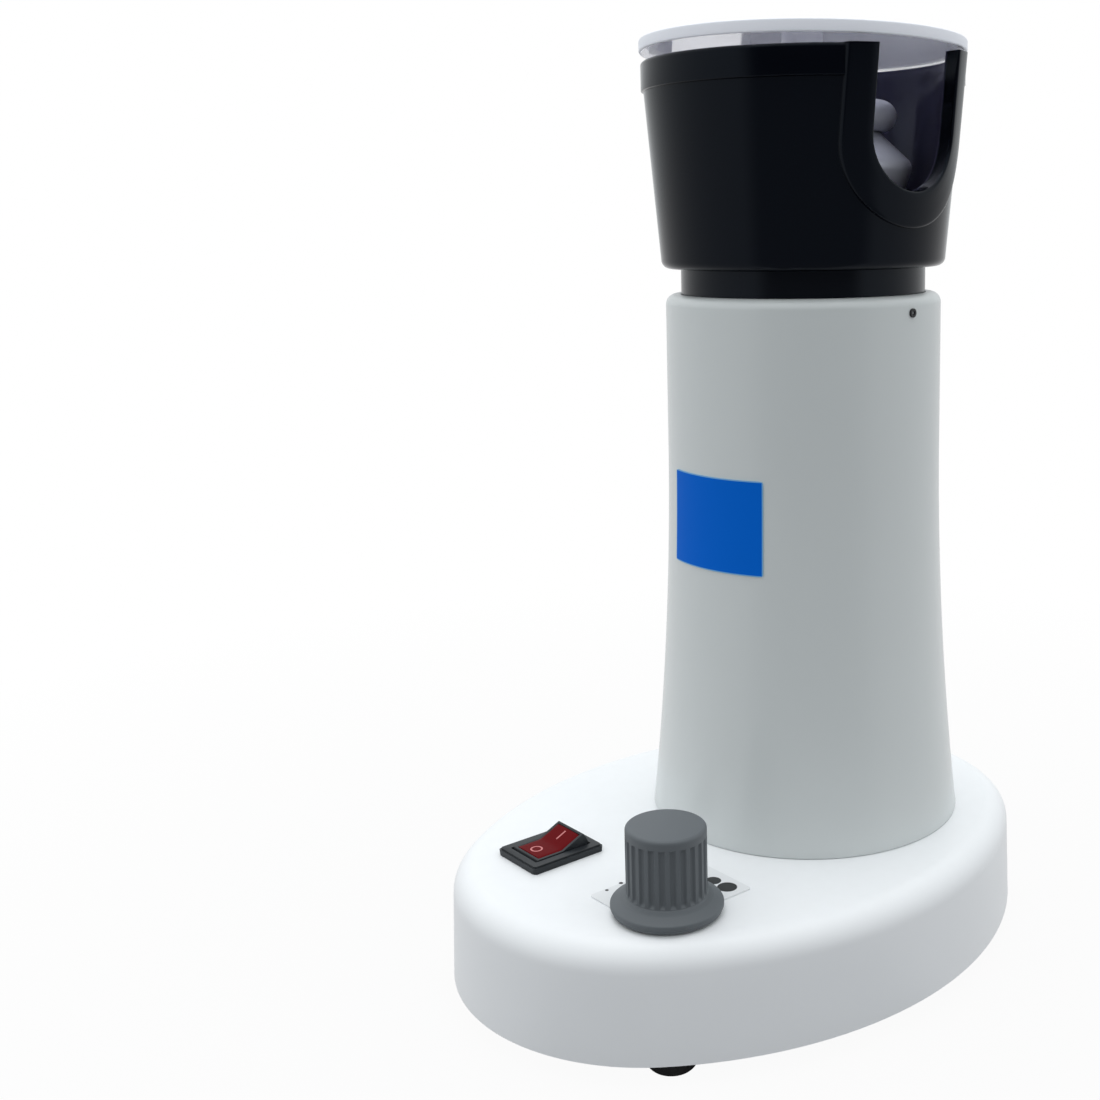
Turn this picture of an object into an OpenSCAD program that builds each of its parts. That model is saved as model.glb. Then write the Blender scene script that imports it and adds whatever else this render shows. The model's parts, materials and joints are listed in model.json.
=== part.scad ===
// Eyeglass frame warmer: a counter-top hot-air heater. A fan in the oval stand blows air up the
// flared column, over a heating coil, and out past a deflector into the black cup, where an
// eyeglass frame is held through the two U-shaped notches. Millimetres, +Z up. The origin is at
// the centre of the stand's footprint, on the table; -Y is the front, with the switch and knob.

/* [Stand] */
// Width of the oval stand, side to side
base_w = 162; // [158:1:172]
// Length of the oval stand, front to back
base_l = 218; // [214:1:230]
// Height of the stand's shell
base_h = 36.6; // [36:0.2:44]
// Radius that rounds the stand's top edge
base_fillet = 8.5; // [5:0.5:10]
// Lean of the stand's side wall, in degrees
base_draft = 1.9; // [0.5:0.1:3]
// Wall of the stand's shell
base_wall = 3; // [2.5:0.1:3.6]
// Thickness of the bottom plate
plate_t = 2; // [1.5:0.1:2.5]
// How far the rubber feet lift the shell off the table
foot_h = 6; // [5:0.5:9]
// Diameter of a rubber foot
foot_d = 17; // [15:0.5:19]
// Front feet: half their spacing
foot_x_front = 47; // [46:0.5:48]
// Front feet: distance ahead of the middle
foot_y_front = 72.5; // [71:0.5:74]
// Back feet: half their spacing
foot_x_back = 38; // [36:0.5:40]
// Back feet: distance behind the middle
foot_y_back = 81; // [80:0.5:83]

/* [Column] */
// How far the column's axis sits behind the middle
col_y = 30; // [26:0.2:33]
// Outer radius of the column's straight part
col_r = 47.7; // [46:0.1:50]
// Height of the column
col_h = 184.6; // [170:0.2:200]
// How much wider the column's foot is than its straight part
foot_flare = 7.4; // [5:0.1:9]
// Height at which the flare starts, above the stand
flare_h = 133.4; // [110:0.2:140]
// Wall of the column
col_wall = 3; // [2.5:0.1:3.5]
// How far the column is turned on the stand, in degrees
col_turn = 4; // [-8:0.5:8]
// Width of the blank panel on the column, along the curve
panel_w = 40.4; // [30:0.2:50]
// Height of the blank panel
panel_h = 31.7; // [20:0.1:40]
// Height of the blank panel's lower edge above the stand
panel_z = 94; // [70:1:110]

/* [Cup] */
// Outer radius of the cup's rim
rim_r = 55; // [53:0.1:58]
// Outer radius of the cup at its floor
cup_floor_r = 48.8; // [47.5:0.1:50]
// Height of the cup
cup_h = 69.4; // [65:0.2:76]
// Wall of the cup
cup_wall = 4; // [3:0.1:4.5]
// Height of the band round the rim
band_h = 10; // [6:0.5:14]
// How far the band stands proud of the cup
band_t = 0.9; // [0.5:0.1:1.5]
// Half the width of a notch, and the radius of its round bottom
notch_r = 18.5; // [15:0.5:20]
// Height of the notch's lowest point above the cup's floor
notch_z = 24.6; // [22:0.1:28]
// Width of the raised collar round each notch
collar_w = 9.5; // [6:0.5:11]
// How far the collar stands proud of the cup
collar_t = 1.5; // [1:0.1:2]
// Outer radius of the neck between the column and the cup
neck_r = 42.3; // [41:0.1:43.5]
// Height of the neck that shows
neck_h = 8.8; // [8:0.2:14]

/* [Lid] */
// Radius of the clear lid
lid_r = 55.5; // [54:0.1:58]
// Thickness of the clear lid
lid_t = 4; // [3:0.5:6]
// Gap between the rim and the lid
lid_gap = 3.6; // [2:0.2:8]

/* [Deflector] */
// Radius of the deflector's waist
waist_r = 26.4; // [24:0.1:28]
// Height of the waist above the cup's floor
waist_z = 45.1; // [42.5:0.1:47]
// Largest radius of the lower bell
bell_r = 37.4; // [34:0.1:39]
// Height of the lower bell
bell_h = 22; // [20:0.5:24]
// Largest radius of the upper cap
cap_r = 32.2; // [30:0.1:34]
// Height of the upper cap
cap_h = 14.4; // [12.5:0.1:15]
// Wall of the spun deflector shells
spun_t = 1.5; // [1:0.1:2]
// Diameter of the stud that carries the deflector and the lid
stud_d = 5; // [4:0.5:6]

/* [Switch] */
// Switch centre, to the left of the middle
switch_x = 22.2; // [20:0.2:26]
// Switch centre, ahead of the middle
switch_y = 67.5; // [65:0.1:70]
// Width of the switch bezel
bezel_w = 19; // [18:0.2:21]
// Length of the switch bezel
bezel_l = 28; // [27:0.2:31]
// Height of the switch bezel above the stand
bezel_t = 2.5; // [2:0.1:3]
// Width of the rocker
rocker_w = 11.6; // [10:0.1:12]
// Radius of the rocker's ends about its pivot
rocker_r = 10.8; // [10:0.1:11]
// Swing of the rocker from off to on, in degrees
rocker_swing = 20; // [14:1:24]

/* [Knob] */
// Knob centre, to the right of the middle
knob_x = 35.7; // [33:0.1:37]
// Knob centre, ahead of the middle
knob_y = 64.2; // [62:0.1:66]
// Radius of the knob's skirt
skirt_r = 17.6; // [16.5:0.1:18.5]
// Radius of the knob's grip
grip_r = 12.6; // [12:0.1:13.4]
// Height of the knob
knob_h = 27; // [25:0.5:32]
// Number of flutes round the grip
flutes = 24; // [16:1:30]
// Radius of one flute
flute_r = 1; // [0.6:0.1:1.2]
// Radius of the temperature shaft
shaft_r = 3; // [2.5:0.1:3.2]
// Width of the scale plate under the knob
scale_w = 30.5; // [28:0.5:32]
// Length of the scale plate
scale_l = 41; // [38:0.5:44]
// Thickness of the scale plate
scale_t = 0.5; // [0.4:0.1:0.8]
// Number of heat marks on the scale
scale_marks = 8; // [5:1:9]

/* [Fan and heater] */
// Side of the square fan frame
fan_w = 80; // [78:1:82]
// Depth of the fan frame
fan_h = 25; // [22:0.5:25]
// Number of fan blades
fan_blades = 7; // [5:1:9]
// Radius of the heater tube
heater_r = 39.5; // [38:0.1:40.5]
// Height of the heater tube
heater_h = 82; // [70:1:95]
// Radius of the heating coil
coil_r = 30; // [26:0.5:31]
// Thickness of the wound heating wire
coil_d = 3; // [2.4:0.1:3.4]
// Turns of the heating coil
coil_turns = 6; // [4:1:7]
// Rise of the coil in each turn
coil_pitch = 9; // [8:0.1:10]
// Thickness of the mica boards
mica_t = 1.6; // [1.2:0.1:2]

/* [Clearances] */
// Clearance round a piece that drops into an opening
fit = 0.2; // [0.15:0.05:0.3]
// Radial clearance of a turning pin or shaft
run_fit = 0.06; // [0.04:0.01:0.08]

/* [Hidden] */
$fn = 96;

// Stand
base_top = foot_h + base_h;
ceiling = base_top - base_wall;          // underside of the stand's top
plate_gap = 0.4;                         // between the bottom plate and the shell
plate_z = foot_h + 1;                    // the plate is let in by a millimetre
plate_top = plate_z + plate_t;
// Places on the stand are given for this footprint. Sideways they keep their distance from the
// edge, and lengthways they move in proportion.
drawn = [162, 218];
function on_stand(x, y) = [x + sign(x) * (base_w - drawn[0]) / 2, y * base_l / drawn[1]];
// The back feet stand behind the fan, which keeps its place, so they move by half the growth
back_shift = [0, (base_l - drawn[1]) / 4];
feet = [for (side = [-1, 1]) each [
  on_stand(side * foot_x_front, -foot_y_front),
  [on_stand(side * foot_x_back, 0)[0], foot_y_back] + back_shift
]];
foot_neck_r = 5.5;                       // part of a foot that reaches up to the plate
foot_top = foot_h - 0.4;                 // top of the foot's wide part, below the shell's edge
foot_screw_d = 4;
foot_screw_head = [7.6, 2.4];            // diameter and height
foot_screw_bite = 10;                    // length in the boss
boss_d = 8;
pilot = 0.1;                             // added to a screw's diameter for its threaded hole
slack = 0.05;                            // radial, in a nut or a bushing
// Cord gland, let into the back wall
gland_z = foot_h + 17;
gland_bore_d = 7.5;
gland_d = 12;                            // threaded barrel
gland_flange = [19, 2.6];
gland_pocket = 6;                        // how far the seat lies inside the back tip
gland_seat_t = 3;
gland_y = base_l / 2 - gland_pocket;
gland_len = 14;
gland_nut_size = [20, 4];                // across the corners, and thickness

// Column
col_top = base_top + col_h;
flare_z = base_top + flare_h;
flare_R = (pow(flare_h, 2) + pow(foot_flare, 2)) / (2 * foot_flare);
col_fillet = 3.6;
panel_t = 0.3;
panel_glue = 0.02;                       // film of glue behind the panel
col_lip = 3;                             // turned-in lip at the top
col_flange_t = 5;                        // flange at the foot
air_r = 38.5;                            // air opening through the stand's top
col_screw_d = 3.5;
col_screw_head = [7, 2.2];
col_screw_r = fan_w / 2 + col_screw_head[0] / 2 + 3.3;  // screw circle, outside the fan

// Neck and cup
spigot_h = 14;                           // part of the neck inside the column
neck_wall = 5.8;
cup_z = col_top + neck_h;                // underside of the cup
rim_z = cup_z + cup_h;
cup_floor_t = 3.6;
floor_z = cup_z + cup_floor_t;
cup_corner = 3;
notch_c = cup_z + notch_z + notch_r;     // centre of the notch's round bottom
collar_c = notch_c - 2.2;                // the collar is wider under the notch than beside it
set_screw_z = col_top - 5.6;
set_screw_d = 3;
set_screw_proud = 0.6;                   // how far it stands out of the column
outlet_r = neck_r - neck_wall;           // air outlet through the cup's floor
guard_ring = [outlet_r - 1, outlet_r + 5.4, 1.6];  // inner radius, outer radius, thickness
guard_wire = 1;
guard_hub = [8, 3];
guard_screw_r = outlet_r + 3.2;
guard_screw_d = 2.6;
guard_screw_head = [4.4, 1.6];
guard_screw_bite = 7;                    // length in the neck
guard_turn = 30;                         // angle of the first screw

// Deflector and lid
waist = cup_z + waist_z;
bell_bottom = waist - bell_h;
cap_top = waist + cap_h;
hub_z = floor_z - 1.4;                   // underside of the guard's hub
nut_h = 4;
nut_d = 1.85 * stud_d;                   // across the corners
nut_top = cap_top + nut_h;
lid_z = rim_z + lid_gap;
hub_r = 9;
stud_top = lid_z - 4;

// Heater, hung under the neck's spigot
spigot_z = col_top - spigot_h;
heater_flange_t = 1.5;
heater_top = spigot_z;
heater_z = heater_top - heater_h;
heater_wall = 1;
heater_screw_d = 2.2;
heater_screw_head = [3.8, 1.4];
heater_screw_r = heater_r + heater_screw_head[0] / 2 + fit;  // screw circle, outside the tube
heater_screw_bite = 6;                   // length in the neck
heater_turn = 90;
heater_ledge = 2;                        // turned-in ledge at the tube's foot
mica_tab = 7;                            // full-width tabs at both ends of a board
mica_z = heater_z + heater_wall;
mica_h = heater_h - heater_wall - 3;
mica_core = coil_r + coil_d / 2 + 1.2;   // half-width of the notched part
coil_wind_z = mica_z + (mica_h - coil_turns * coil_pitch) / 2;

// Fan, on posts of the bottom plate
fan_z = ceiling - fan_h;
fan_hole = 0.447 * fan_w;                // half the spacing of its holes: 71.5 mm on an 80 mm fan
fan_bore_r = fan_w / 2 - 2;
fan_screw_d = 4;
fan_screw_head = [7, 2.2];
fan_post_d = 9;
fan_flange_t = 4;
stator_r = 14;
rotor_hub_r = 17;
rotor_pin_r = 1.5;

// Controls
sw = on_stand(-switch_x, -switch_y);
kn = on_stand(knob_x, -knob_y);
switch_body = [bezel_w - 3.4, bezel_l - 3.4, 17];
rocker_gap = 0.3;                        // between the rocker and its well
pivot_z = base_top - 1;
pivot_r = 1.2;
rocker_face = base_top + bezel_t + 0.3;  // level half of the rocker at rest
lens_rim = 0.9;                          // dark rim round the rocker's lens
lens_t = 1;
bushing_r = 3.5;
bushing_h = 6.5;
knob_gap = 0.3;
scale_top = base_top + scale_t;
knob_z = scale_top + knob_gap;
pot = [6.5, 9.5];                        // radius and depth of the potentiometer
shaft_top = knob_z + knob_h - 6;
scale_shift = 8;                         // from the knob's axis to the plate's middle, each way
dial_r = 23.3;                           // circle of the heat marks
washer = [6.2, 0.6];
pot_nut = [5.6, 2.4];

// Control board, on posts of the bottom plate
board = [0.52 * base_w, 36, 1.6];
board_y = col_y - fan_w / 2 - 4 - board[1] / 2;  // ahead of the fan
board_z = plate_top + 5;
board_top = board_z + board[2];
board_screw_d = 3;
board_screw_head = [5.6, 1.8];
board_hole = [board[0] / 2 - 4, board[1] / 2 - 4];

// ---- Shared forms ----

// A tube, or a disc where r_in is 0
module ring(r_out, r_in, h) {
  difference() {
    cylinder(r = r_out, h = h);
    if (r_in > 0) translate([0, 0, -1]) cylinder(r = r_in, h = h + 2);
  }
}

module at_column() translate([0, col_y, 0]) children();

// Copies round the Z axis
module around(n, start = 0) {
  for (i = [0 : n - 1]) rotate(start + i * 360 / n) children();
}

// Copies at the four corners of a rectangle of half-sizes x and y
module at_corners(x, y) {
  for (i = [-1, 1], j = [-1, 1]) translate([i * x, j * y, 0]) children();
}

// A flat plate with rounded corners, centred
module rounded_plate(w, l, h, r) {
  linear_extrude(h) {
    square([w - 2 * r, l], center = true);
    square([w, l - 2 * r], center = true);
    for (i = [-1, 1], j = [-1, 1]) translate([i * (w / 2 - r), j * (l / 2 - r)]) circle(r = r, $fn = 32);
  }
}

// A pan-head screw, head down: its head ends at z = 0 and its shank goes up
module screw(d, len, head) {
  translate([0, 0, -head[1]]) difference() {
    union() {
      cylinder(d = head[0], h = head[1], $fn = 40);
      cylinder(d = d, h = head[1] + len, $fn = 32);
    }
    for (a = [0, 90]) rotate(a) translate([-0.3 * head[0], -0.08 * head[0], -1])
      cube([0.6 * head[0], 0.16 * head[0], 1 + 0.5 * head[1]]);
  }
}

module hex_nut(d, bore_r, h) {
  difference() {
    cylinder(d = d, h = h, $fn = 6);
    translate([0, 0, -1]) cylinder(r = bore_r, h = h + 2, $fn = 40);
  }
}

// ---- The oval of the stand ----
// A four-centre oval on 3-4-5 triangles: the side arcs' centres lie 4 units to each side, the end
// arcs' centres 3 units ahead and behind, so each pair of centres is 5 units apart and the arcs
// are tangent on the line through them.

oval_unit = (base_l - base_w) / 4;
side_x = 4 * oval_unit;
end_y = 3 * oval_unit;
side_r = side_x + base_w / 2;
end_r = side_r - 5 * oval_unit;
tie_depth = 0.05;                        // of the ties across the seams, under the surface

// Rounded to a micrometre, so that the arcs of one oval meet exactly
function to_micron(x) = round(x * 1000) / 1000;

// Section of the shell from its arc's centre out: a wall that leans in, with a rounded top edge
module wall_section(r, z0, z1, fillet) {
  function wall_r(z) = r - to_micron((z - foot_h) * tan(base_draft));
  if (fillet > 0) {
    arc = [wall_r(z1 - fillet) - fillet, z1 - fillet];
    polygon([[0, z0], [wall_r(z0), z0], [arc[0] + fillet, arc[1]], arc, [arc[0], z1], [0, z1]]);
    translate(arc) circle(r = fillet);
  } else {
    polygon([[0, z0], [wall_r(z0), z0], [wall_r(z1), z1], [0, z1]]);
  }
}

module oval_solid(inset, z0, z1, fillet = 0) {
  far = 2 * base_w;
  corner = [far, end_y + 0.75 * far];
  // between the side arcs
  intersection() {
    side_turn(-side_x, 180) wall_section(side_r - inset, z0, z1, fillet);
    side_turn(side_x, 0) wall_section(side_r - inset, z0, z1, fillet);
    translate([0, 0, z0 - 1]) linear_extrude(z1 - z0 + 2) polygon([
      [0, end_y], [-corner[0], corner[1]], [-corner[0], -corner[1]],
      [0, -end_y], [corner[0], -corner[1]], corner
    ]);
  }
  // full turns just under the surface, which tie these parts across their seams
  for (end = [-1, 1]) translate([0, end * end_y, 0]) rotate_extrude($fn = 180)
    wall_section(end_r - inset - tie_depth, z0, z1, fillet);
  // under the end arcs
  for (end = [-1, 1]) intersection() {
    translate([0, end * end_y, 0]) rotate(-90 * end) rotate_extrude($fn = 180)
      wall_section(end_r - inset, z0, z1, fillet);
    translate([0, 0, z0 - 1]) linear_extrude(z1 - z0 + 2)
      polygon([[0, end * end_y], [corner[0], end * corner[1]], [-corner[0], end * corner[1]]]);
  }
}

// A full turn about a side arc's centre, started on the far side from the arc
module side_turn(x, start) translate([x, 0, 0]) rotate(start) rotate_extrude($fn = 180) children();

// ---- Stand ----

module base_housing() {
  color("whitesmoke") difference() {
    union() {
      difference() {
        oval_solid(0, foot_h, base_top, base_fillet);
        oval_solid(base_wall, foot_h - 1, ceiling, base_fillet - base_wall);
      }
      // screw bosses over the feet
      for (p = feet) translate([p[0], p[1], plate_top]) cylinder(d = boss_d, h = ceiling - plate_top + 1, $fn = 40);
      // seat of the cord gland, behind a flat in the back wall
      intersection() {
        oval_solid(0.5, foot_h + 2, base_top, base_fillet);
        translate([-gland_flange[0] / 2 - 3, gland_y - gland_seat_t, foot_h + 4])
          cube([gland_flange[0] + 6, gland_pocket + gland_seat_t, gland_flange[0] + 5]);
      }
    }
    // pocket and hole of the cord gland
    translate([0, gland_y, gland_z]) rotate([-90, 0, 0])
      cylinder(d = gland_flange[0] + 1, h = gland_pocket + 1);
    translate([0, gland_y - gland_seat_t - 1, gland_z]) rotate([-90, 0, 0])
      cylinder(d = gland_d + 2 * fit, h = gland_pocket + gland_seat_t, $fn = 48);
    // air opening and screw holes under the column
    at_column() translate([0, 0, ceiling - 1]) {
      cylinder(r = air_r, h = base_wall + 2);
      around(4, 0) translate([col_screw_r, 0, 0]) cylinder(d = col_screw_d + 2 * fit, h = base_wall + 2, $fn = 32);
    }
    // pilot holes in the bosses
    for (p = feet) translate([p[0], p[1], plate_top - 1])
      cylinder(d = foot_screw_d + pilot, h = foot_screw_bite + 3, $fn = 32);
    // cut-outs for the switch and the temperature control
    translate([sw[0], sw[1], ceiling + base_wall / 2])
      cube([switch_body[0] + 2 * fit, switch_body[1] + 2 * fit, base_wall + 2], center = true);
    translate([kn[0], kn[1], ceiling - 1]) cylinder(r = bushing_r + fit, h = base_wall + 2, $fn = 48);
  }
}

// A round-ended slot of length l and width w along X
module slot_2d(l, w) {
  square([l - w, w], center = true);
  for (i = [-1, 1]) translate([i * (l - w) / 2, 0]) circle(d = w, $fn = 24);
}

module base_plate() {
  vent_r = fan_bore_r - 4;
  vent_w = 4;
  vent_step = 2 * vent_w;
  vent_rows = floor(vent_r / vent_step);
  color("dimgray") difference() {
    union() {
      oval_solid(base_wall + plate_gap, plate_z, plate_top);
      // posts under the fan's corners
      at_column() at_corners(fan_hole, fan_hole) translate([0, 0, plate_z])
        cylinder(d = fan_post_d, h = fan_z - plate_z, $fn = 40);
      // posts under the control board
      translate([0, board_y, plate_z]) at_corners(board_hole[0], board_hole[1])
        cylinder(d = 6.5, h = board_z - plate_z, $fn = 32);
    }
    for (p = feet) translate([p[0], p[1], plate_z - 1]) cylinder(d = foot_screw_d + 2 * fit, h = plate_t + 2, $fn = 32);
    at_column() at_corners(fan_hole, fan_hole) translate([0, 0, plate_top])
      cylinder(d = fan_screw_d + pilot, h = fan_z, $fn = 32);
    translate([0, board_y, plate_top]) at_corners(board_hole[0], board_hole[1])
      cylinder(d = board_screw_d + pilot, h = board_z, $fn = 24);
    // air inlet: rows of slots, each as long as its chord of the fan's bore
    at_column() translate([0, 0, plate_z - 1]) linear_extrude(plate_t + 2)
      for (i = [-vent_rows : vent_rows])
        translate([0, i * vent_step])
          slot_2d(2 * sqrt(pow(vent_r, 2) - pow(i * vent_step, 2)) - vent_w / 2, vent_w);
  }
}

module rubber_feet() {
  color([0.1, 0.1, 0.1]) for (p = feet) translate([p[0], p[1], 0]) rotate_extrude() difference() {
    polygon([
      [0, 0], [foot_d / 2 - 1.8, 0], [foot_d / 2 - 0.8, 1], [foot_d / 2, foot_top],
      [foot_neck_r, foot_top], [foot_neck_r, plate_z], [0, plate_z]
    ]);
    square([foot_screw_d / 2 + fit, plate_z]);
    square([foot_screw_head[0] / 2 + 0.6, plate_z / 2]);
  }
}

module foot_screws() {
  color("silver") for (p = feet) translate([p[0], p[1], plate_z / 2])
    screw(foot_screw_d, plate_top - plate_z / 2 + foot_screw_bite, foot_screw_head);
}

module cord_gland() {
  color([0.12, 0.12, 0.12]) translate([0, gland_y, gland_z]) rotate([-90, 0, 0]) difference() {
    union() {
      rotate_extrude() polygon([
        [0, 0], [gland_flange[0] / 2, 0], [gland_flange[0] / 2, gland_flange[1] - 1],
        [gland_flange[0] / 2 - 1, gland_flange[1]], [0, gland_flange[1]]
      ]);
      translate([0, 0, -gland_len]) cylinder(d = gland_d, h = gland_len + 1, $fn = 48);
    }
    translate([0, 0, -gland_len - 1]) cylinder(d = gland_bore_d, h = gland_len + gland_flange[1] + 2, $fn = 48);
  }
}

module gland_nut() {
  color([0.12, 0.12, 0.12]) translate([0, gland_y - gland_seat_t, gland_z]) rotate([90, 0, 0])
    hex_nut(gland_nut_size[0], gland_d / 2 + slack, gland_nut_size[1]);
}

// ---- Column ----

// Region inside the column's outer surface, grown by off: straight above flare_z, and bounded by
// one large arc, tangent there, below it
module column_outline(off = 0, top_fillet = 0) {
  r = col_r + off;
  translate([0, flare_z]) square([r, col_top - flare_z - top_fillet]);
  if (top_fillet > 0) {
    translate([0, col_top - top_fillet - 1]) square([r - top_fillet, top_fillet + 1]);
    translate([r - top_fillet, col_top - top_fillet]) circle(r = top_fillet, $fn = 48);
  }
  difference() {
    translate([0, base_top]) square([r + foot_flare + 5, flare_h]);
    translate([col_r + flare_R, flare_z]) circle(r = flare_R - off, $fn = 1440);
  }
}

module column() {
  color("silver") at_column() rotate(col_turn) difference() {
    rotate_extrude() {
      difference() {
        column_outline(0, col_fillet);
        column_outline(-col_wall);
      }
      // foot flange and turned-in lip
      intersection() {
        column_outline(-col_wall / 2);
        translate([air_r + 1.5, base_top]) square([col_r, col_flange_t]);
      }
      intersection() {
        column_outline(0, col_fillet);
        translate([neck_r + fit, col_top - col_lip]) square([col_r, col_lip]);
      }
    }
    around(4, -col_turn) translate([col_screw_r, 0, base_top - 1])
      cylinder(d = col_screw_d + pilot, h = col_flange_t + 2, $fn = 32);
    // holes for the neck's set screws
    for (a = [0, 180]) rotate(a) translate([neck_r, 0, set_screw_z]) rotate([0, 90, 0])
      cylinder(d = set_screw_d + pilot, h = col_r, $fn = 32);
  }
}

module column_screws() {
  color("silver") at_column() around(4) translate([col_screw_r, 0, ceiling])
    screw(col_screw_d, base_wall + col_flange_t - 0.5, col_screw_head);
}

// A thin blank panel that follows the column's surface
module front_panel() {
  arc = panel_w / col_r * 180 / PI;
  color([0.06, 0.34, 0.64]) at_column() rotate(col_turn - 90 + 1.5 - arc / 2)
    rotate_extrude(angle = arc) intersection() {
      difference() {
        column_outline(panel_t + panel_glue);
        column_outline(panel_glue);
      }
      translate([0, base_top + panel_z]) square([col_r + foot_flare, panel_h]);
    }
}

// ---- Neck, cup and outlet ----

module cup_neck() {
  color([0.13, 0.14, 0.16]) at_column() rotate(col_turn) difference() {
    union() {
      translate([0, 0, spigot_z]) ring(col_r - col_wall - fit, outlet_r, spigot_h - col_lip);
      translate([0, 0, spigot_z]) ring(neck_r, outlet_r, spigot_h + neck_h);
    }
    for (a = [0, 180]) rotate(a) translate([outlet_r - 1, 0, set_screw_z]) rotate([0, 90, 0])
      cylinder(d = set_screw_d + pilot, h = 12, $fn = 32);
    rotate(-col_turn) around(3, guard_turn) translate([guard_screw_r, 0, cup_z - guard_screw_bite - 1])
      cylinder(d = guard_screw_d + pilot, h = guard_screw_bite + 2, $fn = 24);
    around(3, heater_turn) translate([heater_screw_r, 0, spigot_z - 1])
      cylinder(d = heater_screw_d + pilot, h = heater_screw_bite + 2, $fn = 24);
  }
}

// Headless set screws that hold the neck in the column
module neck_screws() {
  start = outlet_r + 1;
  len = col_r + set_screw_proud - start;
  color("dimgray") at_column() rotate(col_turn) for (a = [0, 180]) rotate(a)
    translate([start, 0, set_screw_z]) rotate([0, 90, 0]) difference() {
      cylinder(d = set_screw_d, h = len, $fn = 32);
      translate([0, 0, len - set_screw_d / 2]) cylinder(d = set_screw_d / 2, h = set_screw_d, $fn = 6);
    }
}

// Section of the cup's wall at a height, for outlines that are grown or set in by off
cup_lean = (rim_r - band_t - cup_floor_r) / (cup_h - band_h);
function cup_radius(z) = cup_floor_r + (z - cup_z) * cup_lean;

module cup_outline(off, z0, z1, corner) {
  polygon([
    [0, z0], [cup_radius(z0) + off - corner, z0], [cup_radius(z0) + off - corner, z0 + corner],
    [cup_radius(z0 + corner) + off, z0 + corner], [cup_radius(z1) + off, z1], [0, z1]
  ]);
  translate([cup_radius(z0 + corner) + off - corner, z0 + corner]) circle(r = corner, $fn = 48);
}

// A U-shaped bar along X: a round bottom of radius r at height zc, with straight sides up
module u_bar(r, zc, x0, x1) {
  translate([x0, 0, zc]) rotate([0, 90, 0]) cylinder(r = r, h = x1 - x0);
  translate([x0, -r, zc]) cube([x1 - x0, 2 * r, rim_z - zc + 5]);
}

module heat_cup() {
  edge = 1.2;
  color([0.08, 0.08, 0.1]) at_column() difference() {
    union() {
      rotate_extrude() {
        cup_outline(0, cup_z, rim_z - 2 * edge, cup_corner);
        // rim band with a rounded edge
        translate([0, rim_z - band_h]) square([rim_r, band_h - edge]);
        translate([0, rim_z - edge - 1]) square([rim_r - edge, edge + 1]);
        translate([rim_r - edge, rim_z - edge]) circle(r = edge, $fn = 32);
      }
      // raised collars round both notches
      intersection() {
        rotate_extrude() {
          cup_outline(collar_t, cup_z, rim_z - edge, cup_corner);
          cup_outline(collar_t - edge, rim_z - edge - 1, rim_z, 0.01);
        }
        u_bar(notch_r + collar_w, collar_c, -rim_r - 5, rim_r + 5);
      }
    }
    // inside, with a rounded floor corner
    rotate_extrude() cup_outline(-cup_wall, floor_z, rim_z + 1, cup_corner);
    u_bar(notch_r, notch_c, -rim_r - 10, rim_r + 10);
    translate([0, 0, cup_z - 1]) cylinder(r = outlet_r, h = cup_floor_t + 2);
    around(3, guard_turn) translate([guard_screw_r, 0, cup_z - 1])
      cylinder(d = guard_screw_d + 2 * fit, h = cup_floor_t + 2, $fn = 24);
  }
}

// Wire guard over the outlet, with the hub that carries the deflector
module outlet_guard() {
  wire_z = floor_z + guard_ring[2] / 2;
  color([0.35, 0.36, 0.38]) at_column() difference() {
    union() {
      translate([0, 0, floor_z]) ring(guard_ring[1], guard_ring[0], guard_ring[2]);
      for (r = [1 : 3])
        translate([0, 0, wire_z]) rotate_extrude()
          translate([guard_hub[0] + r * (guard_ring[0] - guard_hub[0]) / 4, 0]) circle(r = guard_wire, $fn = 24);
      around(4, 45) translate([guard_hub[0] - 1, 0, wire_z]) rotate([0, 90, 0])
        cylinder(r = guard_wire, h = guard_ring[0] - guard_hub[0] + 2, $fn = 24);
      translate([0, 0, hub_z]) cylinder(r = guard_hub[0], h = guard_hub[1], $fn = 48);
    }
    translate([0, 0, hub_z - 1]) cylinder(r = stud_d / 2 + slack, h = guard_hub[1] + 2, $fn = 40);
    around(3, guard_turn) translate([guard_screw_r, 0, floor_z - 1])
      cylinder(d = guard_screw_d + 2 * fit, h = guard_ring[2] + 2, $fn = 24);
  }
}

module guard_screws() {
  color("silver") at_column() around(3, guard_turn) translate([guard_screw_r, 0, floor_z + guard_ring[2]])
    rotate([180, 0, 0]) screw(guard_screw_d, guard_ring[2] + cup_floor_t + guard_screw_bite, guard_screw_head);
}

// ---- Deflector ----

module deflector_spacer() {
  z0 = hub_z + guard_hub[1];
  color("gray") at_column() translate([0, 0, z0]) ring(stud_d / 2 + 2, stud_d / 2 + slack, waist - spun_t - z0);
}

// Section of the lower bell: a cone from the waist to a rounded rim that curls back in
module bell_outline(inset) {
  roll = 4;
  roll_z = bell_bottom + 9.8;
  roll_x = bell_r - roll;
  polygon([
    [0, bell_bottom - (inset > 0 ? 1 : 0)], [roll_x + 0.8 - inset, bell_bottom - (inset > 0 ? 1 : 0)],
    [roll_x + (roll - inset) * cos(18), roll_z - (roll - inset) * sin(18)],
    [roll_x + (roll - inset) * cos(49), roll_z + (roll - inset) * sin(49)],
    [waist_r - inset, waist - inset], [0, waist - inset]
  ]);
  translate([roll_x, roll_z]) circle(r = roll - inset, $fn = 48);
}

module deflector_bell() {
  color([0.3, 0.31, 0.33]) at_column() difference() {
    rotate_extrude() difference() {
      bell_outline(0);
      bell_outline(spun_t);
    }
    translate([0, 0, waist - 5]) cylinder(r = stud_d / 2 + slack, h = 10, $fn = 40);
  }
}

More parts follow.
